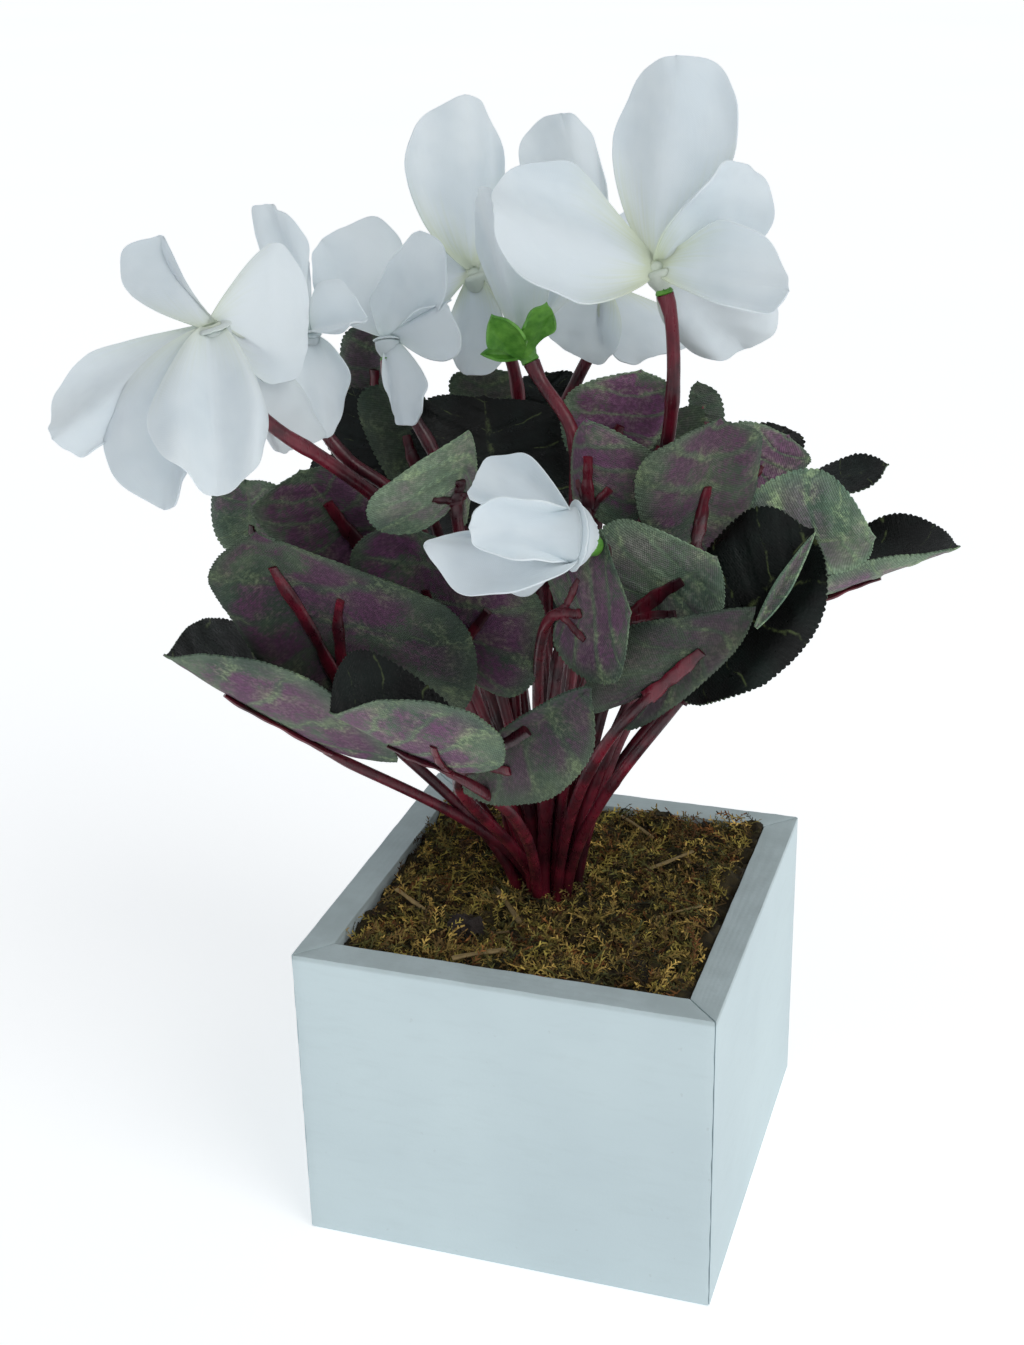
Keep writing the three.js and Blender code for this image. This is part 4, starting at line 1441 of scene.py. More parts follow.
@dataclass
class Box:
    """The square box: four mitred boards round a bottom, all painted.

    Attributes:
        width: Its outside width.
        height: Its height.
        wall: How thick the boards are.
        seam: The gap between pieces.
        cuts: Cuts across each wall board's faces.
        bottom_cuts: Cuts across the bottom board's faces.
        edge: How far the edges are rounded.
        rough: How uneven the wood is.
        sides: The walls, in the order of their quarter turns.
        paint: The finish of all the boards.
        coat: The material that is mixed from the paint when the box is made.
    """

    width: float = 120
    height: float = 93
    wall: float = 9
    seam: float = 0.3
    cuts: int = 34
    bottom_cuts: int = 10
    edge: float = 0.7
    rough: float = 0.16
    sides: tuple[str, ...] = ("front", "right", "back", "left")
    paint: Paint = field(default_factory=Paint)
    coat: Finish | None = None

    def slab(self, name: str, size: Point, centre: Point) -> Piece:
        """Adds a slab of wood.

        Args:
            name: Its name.
            size: Its width, depth and height.
            centre: Its middle.

        Returns:
            The slab.
        """
        clear_bench()
        bpy.ops.mesh.primitive_cube_add(size=1)
        piece = named(name)
        move_corners(piece, (corners(piece) * np.array(size) + np.array(centre)) * MM)
        return piece

    def wear(self, piece: Piece, seed: float) -> None:
        """Rounds a slab's edges and makes its faces a little uneven.

        Args:
            piece: The slab.
            seed: What makes its unevenness its own.
        """
        apply(piece, "BEVEL", width=self.edge * MM, segments=2, limit_method="ANGLE")
        places = corners(piece)
        worn = places / MM
        noise = (swell(worn, seed, 23) + 0.6 * swell(worn, seed + 2, 7)
                 + 0.4 * swell(worn, seed + 5, 3))
        middle = places.mean(axis=0)
        shift = unit(places - middle) * (noise * self.rough * MM)[:, None]
        shift[worn[:, 2] < 2] = 0
        move_corners(piece, places + shift)
        smooth(piece, 40)
        piece.data.materials.append(self.coat)

    def board(self, side: str, quarter: int) -> Piece:
        """Saws one wall board with its two mitres.

        Args:
            side: The side of the box that it closes.
            quarter: The quarter turns from the front to that side.

        Returns:
            The board.
        """
        half, inner = self.width / 2, self.width / 2 - self.wall
        mitre = self.seam * math.sqrt(0.5)
        piece = self.slab(f"Board_{side}", (2 * (half - mitre), self.wall, self.height),
                          (0, -(half + inner) / 2, self.height / 2))
        for vertex in piece.data.vertices:
            vertex.select = vertex.co.y > -(half + inner) / 2 * MM
        for kind in (piece.data.edges, piece.data.polygons):
            for item in kind:
                item.select = all(piece.data.vertices[k].select for k in item.vertices)
        with shaping(piece, whole=False):
            bpy.ops.transform.resize(value=((inner - mitre) / (half - mitre), 1, 1))
            bpy.ops.mesh.select_all(action="SELECT")
            bpy.ops.mesh.subdivide(number_cuts=self.cuts)
        self.wear(piece, quarter + 0.5)
        turn = np.array(Matrix.Rotation(quarter * math.pi / 2, 3, "Z"))
        move_corners(piece, corners(piece) @ turn.T)
        return piece

    def make(self) -> None:
        """Builds the boards and the bottom."""
        self.coat = self.paint.material()
        for quarter, side in enumerate(self.sides):
            deliver(self.board(side, quarter), Slot.PAINT, f"pot_wall_{side}")
        inside = self.width - 2 * self.wall - 2 * self.seam
        bottom = self.slab("Bottom_board", (inside, inside, self.wall), (0, 0, self.wall / 2))
        with shaping(bottom):
            bpy.ops.mesh.subdivide(number_cuts=self.bottom_cuts)
        self.wear(bottom, 7.5)
        deliver(bottom, Slot.PAINT, "pot_floor")


@dataclass
class MossBed:
    """Dried moss on its mat, with straws and a lump of bark.

    Attributes:
        half: Half the width of the mat.
        bottom: The underside of the mat.
        level: The middle height of the moss.
        rise: How far the mat rises and falls.
        sprigs: How many sprigs lie on it.
        straws: Each straw's two ends on the moss, and its radius.
        straw_shade: The colour of the straws.
        lump: The place of the bark.
        lump_size: Half its width, depth and height.
        lump_shade: Its colour.
        cells: Faces across the mat.
        ground: The mat's darker and lighter spots.
        tints: The colours of the sprigs.
        sprig_length: The length of a sprig.
        seed: What the random draws start from.
    """

    half: float = 50.7
    bottom: float = 78.3
    level: float = 91
    rise: float = 1.4
    sprigs: int = 4600
    straws: tuple[tuple[float, ...], ...] = (
        (-17, -10, -4, -27, 0.8), (-16.5, -49, -3.5, -41, 0.9), (-44, -20, -33, -26, 0.7),
        (-14, -30, -6, -31, 0.5), (22, 12, 34, 26, 0.7), (30, -12, 44, -6, 0.5),
        (-36, 30, -22, 38, 0.7), (8, 40, 20, 33, 0.6))
    straw_shade: Shade = (150, 128, 84)
    lump: Point = (-19, -31, 92.5)
    lump_size: Point = (5.2, 3.8, 2.6)
    lump_shade: Shade = (52, 44, 42)
    cells: int = 110
    ground: tuple[Shade, Shade] = ((20, 15, 8), (74, 62, 28))
    tints: tuple[Shade, ...] = (
        (52, 38, 20), (78, 60, 30), (96, 82, 40), (112, 100, 46), (70, 68, 32), (134, 112, 58),
        (86, 54, 24), (60, 62, 34))
    sprig_length: float = 7
    seed: int = 11

    def height(self, x: Places, y: Places) -> Places:
        """The mat's surface over a place, in millimetres."""
        waves = np.sin(x * 0.21 + 1) * np.cos(y * 0.19) + 0.6 * np.sin(x * 0.43 - y * 0.37)
        return self.level + self.rise * waves + 0.02 * (x + y)

    def mat(self) -> Piece:
        """Lays the mat: a grid with lumps, its rim turned down, and a flat underside.

        Returns:
            The mat.
        """
        piece, across, along = add_grid("Moss_mat", self.cells, self.cells)
        x, y = (np.clip((share - 0.5) * 2.04, -1, 1) * self.half for share in (across, along))
        top = np.stack([x, y, self.height(x, y)], axis=1)
        lumps = 1.3 * swell(top, 1, 11) + 0.8 * swell(top, 4, 4.1) + 0.5 * swell(top, 7, 2.3)
        rim = (np.abs(across - 0.5) > 0.4999) | (np.abs(along - 0.5) > 0.4999)
        top[:, 2] = np.where(rim, self.bottom, top[:, 2] + lumps - 0.6)
        move_corners(piece, top * MM)
        with shaping(piece):
            bpy.ops.mesh.region_to_loop()
            bpy.ops.mesh.edge_face_add()
            bpy.ops.mesh.select_all(action="SELECT")
            bpy.ops.mesh.normals_make_consistent(inside=False)
        spots = 0.5 + 0.5 * swell(corners(piece) / MM, 3, 6)
        dark, light = (np.array(colour(*c)[:3]) for c in self.ground)
        tint(piece, "Tint", dark + (light - dark) * spots[:, None])
        smooth(piece)
        return piece

    def sprig(self) -> Piece:
        """Models one sprig along +X: a bent stalk with small leaves either side.

        Returns:
            The sprig.
        """
        way = np.linspace(0, 1, 4)
        line = np.stack([self.sprig_length * way, 0.9 * np.sin(2.6 * way),
                         0.8 * np.sin(3.3 * way)], axis=1)
        stalk = tube("sprig", line, 0.2 - 0.13 * way, 3)
        leaves = []
        for k, share in enumerate(np.linspace(0.15, 0.95, 9)):
            clear_bench()
            bpy.ops.mesh.primitive_plane_add(size=1)
            leaf = named(f"sprig leaf {k}")
            side = 1 if k % 2 else -1
            at = np.array([np.interp(share, way, line[:, j]) for j in range(3)])
            flat = corners(leaf)
            along, wide = flat[:, 0] + 0.5, flat[:, 1] * 0.5 * np.where(flat[:, 0] > 0, 0.5, 1)
            heading = unit(np.array([0.8, side * 0.8, 0.35 * math.cos(k * 2.1)]))
            over = unit(np.array([0.4, -0.5 * side, 0.7 * math.sin(k * 1.7)]))
            shape = at + np.outer(along * (1.7 - 0.8 * share), heading) + np.outer(wide, over)
            move_corners(leaf, to_metres(shape))
            leaves.append(leaf)
        return join("sprig", [stalk, *leaves])

    def strew(self, rng: np.random.Generator) -> Piece:
        """Copies the sprig over the whole mat, each copy with its own turn, size and tint.

        Args:
            rng: The random draws.

        Returns:
            All the sprigs as one piece.
        """
        model = self.sprig()
        shape = to_plant(corners(model) / MM)
        faces = [tuple(p.vertices) for p in model.data.polygons]
        bpy.data.objects.remove(model)
        count = self.sprigs
        x, y = rng.uniform(-1, 1, (2, count)) * (self.half - 1.2)
        turn, roll = rng.uniform(0, FULL_TURN, (2, count))
        pitch = rng.normal(0.18, 0.34, count)
        size = rng.uniform(0.55, 1.3, count)
        edge = self.half + 0.4 - np.maximum(np.abs(x), np.abs(y))
        # near the boards the sprigs point inwards
        turn = np.where(edge < 7, np.arctan2(-y, -x) + rng.normal(0, 0.9, count), turn)
        z = self.height(x, y) + rng.uniform(-0.9, 0.9, count)
        local = shape[None] * size[:, None, None]
        ly, lz = spun(local[..., 1], local[..., 2], roll[:, None])
        lx, lz = spun(local[..., 0], lz, pitch[:, None])
        lx, ly = spun(lx, ly, turn[:, None])
        places = np.stack([lx + x[:, None], ly + y[:, None], lz + z[:, None]], axis=-1)
        # none sinks more than 2 mm into the mat or reaches into the boards
        low = self.height(places[..., 0], places[..., 1]) - 2
        places[..., 2] = np.maximum(places[..., 2], low)
        places[..., :2] = np.clip(places[..., :2], -self.half - 0.1, self.half + 0.1)
        # the plane only carries the new mesh
        clear_bench()
        bpy.ops.mesh.primitive_plane_add(size=1)
        piece = named("Moss_sprigs")
        step = len(shape)
        mesh = bpy.data.meshes.new("Moss_sprigs")
        index = [tuple(k + step * copy for k in face) for copy in range(count) for face in faces]
        mesh.from_pydata((places.reshape(-1, 3) * MM).tolist(), [], index)
        piece.data = mesh
        palette = np.array([colour(*c)[:3] for c in self.tints])
        zone = 0.5 + 0.5 * swell(np.stack([x, y, z], axis=1), 2, 30)
        drawn = (rng.uniform(0, 1, count) * 0.7 + zone * 0.3) * len(palette)
        chosen = palette[np.minimum(drawn.astype(int), len(palette) - 1)]
        chosen = chosen * rng.uniform(0.2, 3.8, count)[:, None]
        along = np.clip(shape[:, 0] / self.sprig_length, 0, 1)
        shades = chosen[:, None, :] * (0.65 + 0.6 * along)[None, :, None]
        tint(piece, "Tint", shades.reshape(-1, 3))
        return piece

    def straw(self, number: int, ends: tuple[float, ...]) -> Piece:
        """Lays one straw on the moss, a little bent and flattened.

        Args:
            number: Its number, for its bend and its shade.
            ends: Its two ends on the moss, and its radius.

        Returns:
            The straw.
        """
        x0, y0, x1, y1, radius = ends
        way = np.linspace(0, 1, 12)
        x, y = x0 + (x1 - x0) * way, y0 + (y1 - y0) * way
        ground = np.interp(way, (0, 1), self.height(np.array([x0, x1]), np.array([y0, y1])))
        z = ground + 2.6 + 0.5 * np.sin(3 * way + number)
        line = to_plant(np.stack([x, y, z], axis=1))
        radii = radius * (1 + 0.12 * np.sin(way * 9 + number))
        press = (np.array([0.0, 0, 1]), np.full_like(way, 0.6))
        piece = tube(f"straw {number}", line, radii, 8, press)
        shade = np.array(colour(*self.straw_shade)[:3]) * (0.7 + 0.25 * (number % 3))
        tint(piece, "Tint", shade)
        return piece

    def bark(self) -> Piece:
        """Breaks a lump of bark from a ball.

        Returns:
            The lump.
        """
        clear_bench()
        bpy.ops.mesh.primitive_ico_sphere_add(subdivisions=5, radius=1)
        piece = named("Moss_bark")
        ball = corners(piece)
        lump = ball * np.array(self.lump_size)
        rough = (0.8 * swell(lump, 2, 6) + 0.6 * swell(lump, 3, 2.5)
                 + 0.3 * np.round(2 * swell(lump, 5, 3.5)))
        move_corners(piece, (lump + ball * rough[:, None] + np.array(self.lump)) * MM)
        tint(piece, "Tint", colour(*self.lump_shade)[:3])
        smooth(piece, 35)
        return piece

    def make(self) -> None:
        """Lays the moss, its straws and its bark."""
        rng = np.random.default_rng(self.seed)
        dry = Fibre("dry moss").material()
        for piece, nodes in ((self.mat(), ("moss_mat",)), (self.strew(rng), ())):
            piece.data.materials.append(dry)
            deliver(piece, Slot.MOSS, *nodes)
        straws = join("Moss_straws", [self.straw(k, ends) for k, ends in enumerate(self.straws)])
        straws.data.materials.append(Fibre("straw", 0.7, 0.3).material())
        deliver(straws, Slot.MOSS)
        bark = self.bark()
        bark.data.materials.append(Fibre("bark", 0.95, 0.8).material())
        deliver(bark, Slot.MOSS)
        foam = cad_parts["foam_block"]
        foam.data.materials.clear()
        foam.data.materials.append(Foam().material())


@dataclass
class StemBundle:
    """The dark red plastic: a crown, leaf stalks with their ribs, and flower stems.

    Attributes:
        crown: The middle of the crown's top, in the plant's frame.
        crown_bottom: The underside of the crown.
        crown_radius: Its radius.
        root: How far below the crown's top the stalks and stems start.
        stalk: The radius of a leaf stalk.
        stem: The radius of a flower stem.
        rib_radius: Half the width of a rib at its foot.
        rib_flat: How flat the ribs are.
        full_leaf: The length from which a leaf has ribs of full size.
        rib_steps: Places along a rib.
        stalk_steps: Places along a leaf stalk.
        stem_steps: Places along a flower stem.
        plastic: The finish of it all.
    """

    crown: Point = (-4, 1, 88)
    crown_bottom: float = 56.3
    crown_radius: float = 12
    root: float = 4
    stalk: float = 1.5
    stem: float = 1.95
    rib_radius: float = 2.3
    rib_flat: float = 0.38
    full_leaf: float = 34
    rib_steps: int = 22
    stalk_steps: int = 40
    stem_steps: int = 70
    plastic: StemPlastic = field(default_factory=StemPlastic)

    def under(self, leaf: Leaf, u: Places, out: Places, depth: Places) -> Places:
        """Finds places below a leaf's middle surface.

        Args:
            leaf: The leaf.
            u: Shares of the length.
            out: Shares of the half width, below 0 on the left.
            depth: How far below.

        Returns:
            The places.
        """
        u, out = np.broadcast_arrays(np.asarray(u, float), np.asarray(out, float))
        return (leaf.blade.place(u, out, leaf.outline)
                - leaf.blade.upward * np.asarray(depth)[..., None])

    def size(self, leaf: Leaf) -> float:
        """The size of a leaf's ribs, as a share of the full size."""
        return min(1, np.linalg.norm(leaf.blade.along) / self.full_leaf)

    def rib(self, leaf: Leaf, reach: float, side: float, seed: float) -> Piece:
        """Moulds one flat, blunt and ragged rib under a leaf.

        Args:
            leaf: The leaf.
            reach: How far it runs, as a share of the leaf's length.
            side: How far it leans from the midrib, below 0 to the left.
            seed: What makes it ragged in its own way.

        Returns:
            The rib.
        """
        way = np.linspace(0, 1, self.rib_steps)
        taper = np.interp(way, (0, 0.3, 0.85, 1), (1, 0.9, 0.75, 0.62))
        ragged = 1 + 0.12 * np.sin(9 * way + seed) + 0.08 * np.sin(23 * way + 2 * seed)
        radii = self.rib_radius * self.size(leaf) * taper * ragged * (1 if side == 0 else 0.8)
        u = -0.03 + (reach + 0.03) * way * (1 - 0.35 * abs(side))
        out = side * reach * (0.25 * way + 0.75 * way**1.5) + 0.02 * np.sin(7 * way + seed) * way
        line = self.under(leaf, u, out, 0.15 + self.rib_flat * radii)
        return tube("rib", line, radii, 10, (leaf.blade.upward, np.full_like(way, self.rib_flat)))

    def stalk_of(self, leaf: Leaf, index: int) -> list[Piece]:
        """Moulds a leaf's stalk, which runs on under the foot of the leaf, and its ribs.

        Args:
            leaf: The leaf.
            index: Its number, for where its stalk starts and is knotted.

        Returns:
            The stalk and the ribs.
        """
        heart = np.array(self.crown, float) - (0, 0, self.root)
        end = self.under(leaf, np.zeros(1), np.zeros(1), np.full(1, 1.3))[0]
        lean = unit((end - heart) * (1, 1, 0))
        start = heart + lean * (3 + 6 * ((index * 0.618) % 1))
        span = np.linalg.norm(end - start)
        arrive = min(span * 0.25, np.linalg.norm(leaf.blade.along) * 0.6)
        stalk = arch_route(start, start + np.array([0, 0, span * 0.3]),
                           end - unit(leaf.blade.along) * arrive, end, self.stalk_steps)
        way = np.linspace(0, 1, self.stalk_steps)
        share = np.linspace(0.03, 0.14, 4)
        end_radii = np.array([1.3, 1.15, 1.0, 0.8]) * self.size(leaf)
        foot = self.under(leaf, share, np.zeros(4), 0.3 + 0.6 * end_radii)
        knots = 1 + 0.1 * np.exp(-((way - 0.35 - 0.3 * ((index * 0.37) % 1)) / 0.02) ** 2)
        radii = np.concatenate([self.stalk * (1.12 - 0.12 * way) * knots, end_radii])
        flat = np.concatenate([1 - 0.3 * ease(way, 0.9, 1), np.full(4, 0.6)])
        pieces = [tube("stalk", np.vstack([stalk, foot]), radii, 12, (leaf.blade.upward, flat))]
        for number, (reach, side) in enumerate(zip(leaf.ribs, (0, -leaf.lean, leaf.lean))):
            if reach > 0:
                pieces.append(self.rib(leaf, reach, side, index * 2.4 + number))
        return pieces

    def stem_of(self, bloom: Bloom, index: int) -> Piece:
        """Moulds a bloom's stem, with its joint and its neck under the calyx.

        Args:
            bloom: The bloom.
            index: Its number, for where the joints are.

        Returns:
            The stem.
        """
        foot = np.array(bloom.route[-1], float)
        neck = foot + unit(foot - np.array(bloom.hub)) * 5
        first = np.array([*bloom.route[0][:2], self.crown[2] - self.root], float)
        line = stem_route([first, *bloom.route[:-1], neck, foot], self.stem_steps)
        way = np.linspace(0, 1, self.stem_steps)
        radii = self.stem * (1.12 - 0.24 * way)
        for joint in (0.3 + 0.06 * math.sin(index), 0.62 + 0.08 * math.cos(index * 2), 0.86):
            radii *= 1 + 0.16 * np.exp(-((way - joint) / 0.012) ** 2)
        radii *= 1 + 0.35 * ease(way, 0.965, 1)
        return tube("stem", line, radii, 14)

    def crown_piece(self) -> Piece:
        """Turns the crown that the stems grow from.

        Returns:
            The crown.
        """
        clear_bench()
        height = self.crown[2] - self.crown_bottom
        bpy.ops.mesh.primitive_cylinder_add(vertices=32, radius=1, depth=1)
        piece = named("Crown")
        places = corners(piece)
        radius = np.where(places[:, 2] > 0, self.crown_radius, self.crown_radius - 3)[:, None]
        places = np.hstack([places[:, :2] * radius, places[:, 2:] * height])
        middle = np.array([self.crown[0], self.crown[1], self.crown_bottom + height / 2])
        move_corners(piece, to_metres(places + middle))
        with shaping(piece):
            bpy.ops.mesh.bevel(offset=1.4 * MM, segments=3)
        return piece

    def make(self) -> None:
        """Moulds the stalks, ribs, stems and crown as one piece."""
        pieces = [self.crown_piece()]
        for index, leaf in enumerate(LEAVES):
            pieces += self.stalk_of(leaf, index)
        pieces += [self.stem_of(bloom, index) for index, bloom in enumerate(BLOOMS)]
        bundle = join("Stems", pieces)
        bundle.data.materials.append(self.plastic.material())
        smooth(bundle, 60)
        deliver(bundle, Slot.STEM, "stem_cluster")


@dataclass
class Foliage:
    """The leaves: printed cloth, dark and glossy above and sage below.

    Attributes:
        relief: The surface and edge of a leaf.
        fold: The surface and edge of a turned edge.
        fold_print_and_light: The painted light, purple and seed of a turned edge's print.
        top: The cloth's upper side.
        underside: Its underside.
    """

    relief: Relief = Relief(tooth=1.5, depth=0.75, veins=6, furrow=0.35, wave=0.7, waves=2.2)
    fold: Relief = Relief(veins=1, furrow=0, wave=0.2, columns=4)
    fold_print_and_light: Point = (2.6, 0.4, 0.5)
    top: LeafTop = field(default_factory=LeafTop)
    underside: LeafUnderside = field(default_factory=LeafUnderside)

    def make(self) -> None:
        """Cuts every leaf."""
        cloths = (self.top.material(), self.underside.material())
        for index, leaf in enumerate(LEAVES):
            # the painted light and shade, purple and seed of this leaf's print
            values = (leaf.tone, leaf.purple, (index * 0.173) % 1)
            name = f"Leaf_{leaf.name}"
            piece = cut_blade(name, leaf.blade, leaf.outline, self.relief, index, values, cloths)
            if leaf.turned is not None:
                fold = cut_blade("fold", leaf.turned, SEPAL, self.fold, index, self.fold_print_and_light,
                                 cloths[1:])
                piece = join(name, [piece, fold])
            deliver(piece, Slot.LEAF, f"leaf_{leaf.name}")


@dataclass
class Blooms:
    """The blooms: white petals round a cream throat, on a green calyx.

    Attributes:
        throat_radius: The radius of the throat's dish.
        throat_depth: How deep the dish is.
        foot_radius: The radius of the calyx's foot.
        rim_radius: The radius of the calyx's rim where nothing covers it.
        seam: The gap between a calyx and what it sits on.
        lobes: Lobes on the rim of the calyx.
        cloth_wall: The thickness of the throat and the collar.
        cup_wall: The thickness of the calyx.
        turns: Faces round a throat, collar or calyx.
        rises: Faces from its middle to its rim.
        petal: The surface and edge of a petal.
        sepal: The surface and edge of a sepal.
        cloth: The petals' finish.
        plastic: The calyx's finish.
    """

    throat_radius: float = 5.4
    throat_depth: float = 3.4
    foot_radius: float = 2.2
    rim_radius: float = 3.9
    seam: float = 0.3
    lobes: int = 5
    cloth_wall: float = 0.35
    cup_wall: float = 0.6
    turns: int = 60
    rises: int = 14
    petal: Relief = Relief(veins=3, furrow=0.04, wave=1.4, waves=1.6, drift=0.5, curl=0.5,
                           thickness=0.4, columns=10, pitch=0.9)
    sepal: Relief = Relief(veins=1, furrow=0.1, wave=0.3, curl=0.4, thickness=0.7, columns=5,
                           pitch=0.8)
    cloth: PetalCloth = field(default_factory=PetalCloth)
    plastic: SepalPlastic = field(default_factory=SepalPlastic)

    def turned(self, name: str, bloom: Bloom, axis: Places, profile: Knots, ruffle: float,
               lobes: float, thickness: float, finish: Finish) -> Piece:
        """Turns a dish or cup about an axis through the bloom's hub.

        Args:
            name: The piece's name.
            bloom: The bloom.
            axis: The direction of the axis.
            profile: Radius and height above the hub, from the middle to the rim.
            ruffle: How far the rim is frayed.
            lobes: How far the rim's lobes stand up.
            thickness: The wall's thickness.
            finish: Its material.

        Returns:
            The piece, with its middle closed.
        """
        piece, turn, share = add_grid(name, self.turns, self.rises)
        line = np.array(profile)
        at = share * (len(line) - 1)
        radius = np.interp(at, range(len(line)), line[:, 0])
        height = np.interp(at, range(len(line)), line[:, 1])
        angle = turn * FULL_TURN
        seed = sum(map(ord, bloom.name))
        frayed = (np.sin(angle * 7 + seed) + np.sin(angle * 13 + 2 * seed) + np.sin(angle * 22)) / 3
        height = height + share**4 * (ruffle * frayed + lobes * np.cos(self.lobes * angle))
        radius = radius * (1 + 0.06 * share * np.sin(angle * 3 + seed))
        aside = unit(np.cross(axis, (0.2, 0.9, 0.1)))
        over = np.cross(axis, aside)
        places = (np.array(bloom.hub) + np.outer(height, axis)
                  + np.outer(radius * np.cos(angle), aside)
                  + np.outer(radius * np.sin(angle), over))
        move_corners(piece, to_metres(places))
        map_surface(piece, "UVMap", np.stack([turn, share * 0.1], axis=1))
        map_surface(piece, "Cloth", np.stack([turn * 3, share], axis=1))
        tint(piece, "Print", (0.4 * bloom.cream, 0, 0))
        piece.data.materials.append(finish)
        weld(piece, closed=False)
        apply(piece, "SOLIDIFY", thickness=thickness * MM, offset=0, use_rim=True)
        smooth(piece, 50)
        return piece

    def corolla(self, bloom: Bloom, index: int, cloth: Finish) -> Piece:
        """Sews a bloom's petals round its throat, over the collar that covers its calyx.

        Args:
            bloom: The bloom.
            index: Its number, for the unevenness of its petals.
            cloth: The petals' material.

        Returns:
            The petals, throat and collar as one piece.
        """
        r, hub = self.throat_radius * bloom.throat, np.array(bloom.hub, float)
        axis, neck = bloom.axis, self.cup_radius(bloom) + 0.5
        throat = ((0, -0.9), (0.4 * r, -0.8), (0.7 * r, -0.6), (0.95 * r, -0.6), (1.2 * r, -1.1))
        low = -self.throat_depth - bloom.veil * (bloom.depth - self.throat_depth - 1)
        collar = ((0, -1.2), (0.8 * r, -1.2), (1.05 * r, -1.7),
                  ((r + neck) / 2 + 0.4, 0.45 * low - 1), (neck + 0.2, 0.8 * low - 0.2),
                  (0.8 * neck, low))
        down = bloom.neck if bloom.veil > 0.5 else axis
        pieces = [self.turned("throat", bloom, axis, throat, ruffle=0.15, lobes=0,
                              thickness=self.cloth_wall, finish=cloth),
                  self.turned("collar", bloom, down, collar, ruffle=0.3, lobes=0,
                              thickness=self.cloth_wall, finish=cloth)]
        for number, petal in enumerate(bloom.petals):
            root = np.subtract(petal.base, hub)
            root *= min(1, (self.throat_depth - 1) / np.linalg.norm(root))
            blade = replace(petal, base=tuple(hub + root))
            ring = Ring(tuple(hub - axis * (0.1 + 0.2 * (number % 3))), axis,
                        r * (bloom.mouth + 0.04 * (number % 3)), bloom.spread)
            pieces.append(cut_blade(f"petal {number}", blade, PETAL, self.petal,
                                    7 * index + number, (bloom.cream, 0, 0), (cloth,), ring))
        return join(f"Bloom_{bloom.name}_petals", pieces)

    def cup_radius(self, bloom: Bloom) -> float:
        """The radius of a calyx's rim, smaller the more of it is covered."""
        return self.rim_radius * min(1, bloom.throat) * (1 - 0.3 * bloom.veil)

    def calyx(self, bloom: Bloom, index: int, green: Finish) -> Piece:
        """Moulds a bloom's calyx: a lobed cup, and its long sepals.

        Args:
            bloom: The bloom.
            index: Its number, for the unevenness of its sepals.
            green: The material.

        Returns:
            The calyx.
        """
        low, high = -bloom.depth + self.seam, -self.throat_depth - self.seam
        rim = self.cup_radius(bloom)
        profile = ((0, low), (self.foot_radius, low), (0.8 * rim, 0.6 * low + 0.4 * high),
                   (rim, high - 0.6), (rim + 0.1, high + 0.2))
        pieces = [self.turned("cup", bloom, bloom.neck, profile, ruffle=0.1, lobes=0.5,
                              thickness=self.cup_wall, finish=green)]
        for number, sepal in enumerate(bloom.sepals):
            pieces.append(cut_blade(f"sepal {number}", sepal, SEPAL, self.sepal, index + number,
                                    (1, 0, 0), (green,)))
        return join(f"Bloom_{bloom.name}_calyx", pieces)

    def make(self) -> None:
        """Makes every bloom."""
        cloth, green = self.cloth.material(), self.plastic.material()
        for index, bloom in enumerate(BLOOMS):
            deliver(self.corolla(bloom, index, cloth), Slot.PETAL, f"bloom_{bloom.name}_petals")
            deliver(self.calyx(bloom, index, green), Slot.SEPAL, f"bloom_{bloom.name}_calyx")


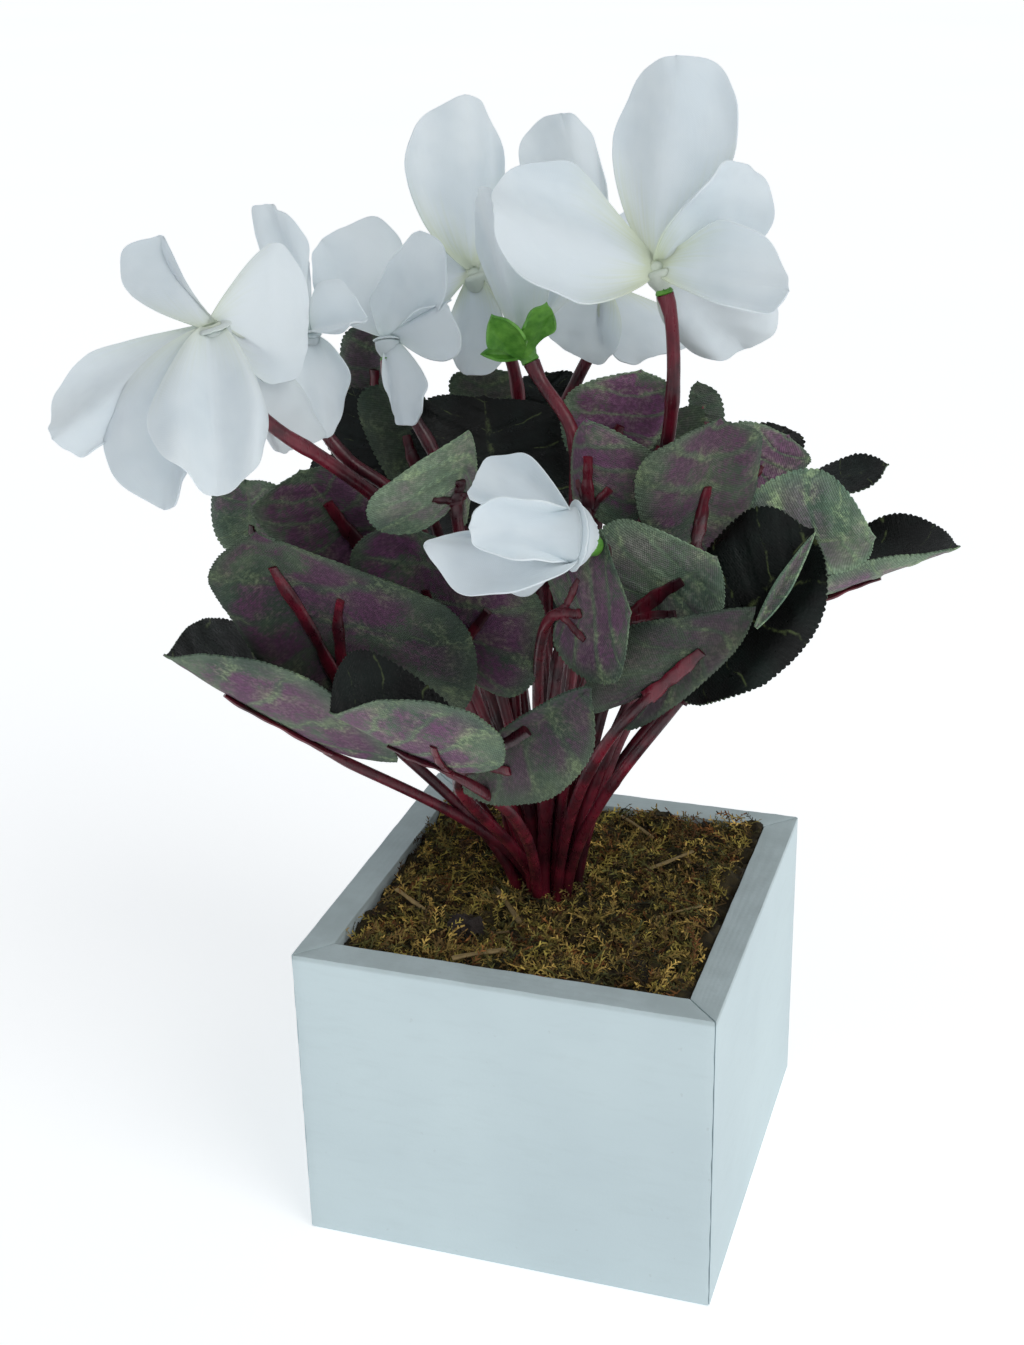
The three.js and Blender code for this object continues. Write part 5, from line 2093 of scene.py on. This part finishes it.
@dataclass
class Studio:
    """The pale floor, the soft lights and the camera.

    Attributes:
        target: What the camera looks at, in millimetres of the box's frame.
        azimuth: The camera's turn from the box's front towards its right, in degrees.
        elevation: Its height over the horizon, in degrees.
        roll: Its lean, in degrees.
        distance: Its distance from the target, in millimetres.
        lens: Its focal length.
        sensor: The width of its sensor.
        aim: What the lights face, in metres.
        ceiling: The colour of the ceiling's light.
        sky: The colour of the sky.
        sky_strength: How bright the sky is.
        floor_size: The floor's width, in metres.
        floor_level: Its height, in metres.
    """

    target: Point = (-13.56, 0, 158.64)
    azimuth: float = 18.44
    elevation: float = 22.99
    roll: float = -1.29
    distance: float = 541.2
    lens: float = 50.99
    sensor: float = 36
    aim: Point = (0, 0, 0.16)
    ceiling: Point = (1, 0.98, 0.95)
    sky: tuple[float, float, float, float] = (0.93, 0.97, 1.0, 1)
    sky_strength: float = 0.53
    floor_size: float = 24
    floor_level: float = -0.0003

    def floor(self) -> None:
        """Lays the floor."""
        clear_bench()
        bpy.ops.mesh.primitive_plane_add(size=self.floor_size, location=(0, 0, self.floor_level))
        piece = named("Studio_floor")
        piece.data.materials.append(FloorFinish().material())

    def light(self, name: str, energy: float, size: float, place: Point, shade: Point) -> None:
        """Hangs a soft square light that faces the plant.

        Args:
            name: The lamp's name.
            energy: Its power in watts.
            size: Its width in metres.
            place: Where it hangs, in metres.
            shade: Its colour.
        """
        clear_bench()
        bpy.ops.object.light_add(type="AREA", location=place)
        lamp = bpy.context.object
        lamp.name = name
        lamp.data.energy, lamp.data.size, lamp.data.color = energy, size, shade
        heading = Vector(self.aim) - Vector(place)
        lamp.rotation_euler = heading.to_track_quat("-Z", "Y").to_euler()

    def sun(self, energy: float, spread: float, heading: Point) -> None:
        """Adds the even light of a large soft source far away.

        Args:
            energy: Its strength.
            spread: How wide it looks, in degrees.
            heading: The way that its light falls.
        """
        clear_bench()
        bpy.ops.object.light_add(type="SUN", location=(0, 0, 2))
        lamp = bpy.context.object
        lamp.name = "Ceiling"
        lamp.data.energy, lamp.data.angle = energy, math.radians(spread)
        lamp.data.color = self.ceiling
        lamp.rotation_euler = Vector(heading).to_track_quat("-Z", "Y").to_euler()

    def camera(self) -> None:
        """Sets the camera up where the photographer stood."""
        az, el, roll = (math.radians(a) for a in (self.azimuth, self.elevation, self.roll))
        back = Vector((math.sin(az) * math.cos(el), -math.cos(az) * math.cos(el), math.sin(el)))
        right = Vector((math.cos(az), math.sin(az), 0))
        up = back.cross(right)
        level = right * math.cos(roll) + up * math.sin(roll)
        upright = up * math.cos(roll) - right * math.sin(roll)
        clear_bench()
        bpy.ops.object.camera_add()
        camera = bpy.context.object
        camera.name = "Camera"
        turn = Matrix((level, upright, back)).transposed().to_4x4()
        centre = (Vector(self.target) + back * self.distance) * MM
        camera.matrix_world = Matrix.Translation(centre) @ turn
        camera.data.lens, camera.data.sensor_width = self.lens, self.sensor
        bpy.context.scene.camera = camera

    def make(self) -> None:
        """Sets up the floor, lights, sky and camera."""
        scene = bpy.context.scene
        scene.view_settings.view_transform = "Standard"
        sky = bpy.data.worlds.new("Studio")
        sky.use_nodes = True
        background = sky.node_tree.nodes["Background"]
        background.inputs[0].default_value = self.sky
        background.inputs[1].default_value = self.sky_strength
        scene.world = sky
        self.floor()
        self.sun(energy=0.62, spread=35, heading=(-0.75, 0.4, -0.75))
        self.light("Key", energy=1.6, size=0.9, place=(1.0, -0.7, 0.7), shade=(1, 0.99, 0.96))
        self.camera()


def main() -> None:
    """Builds the part and its studio, in order."""
    logging.basicConfig(level=logging.INFO, format="%(message)s")
    for assembly in (Box(), MossBed(), StemBundle(), Foliage(), Blooms(), Studio()):
        LOG.info("making %s", type(assembly).__name__)
        assembly.make()
    clear_bench()


if __name__ == "__main__":
    main()
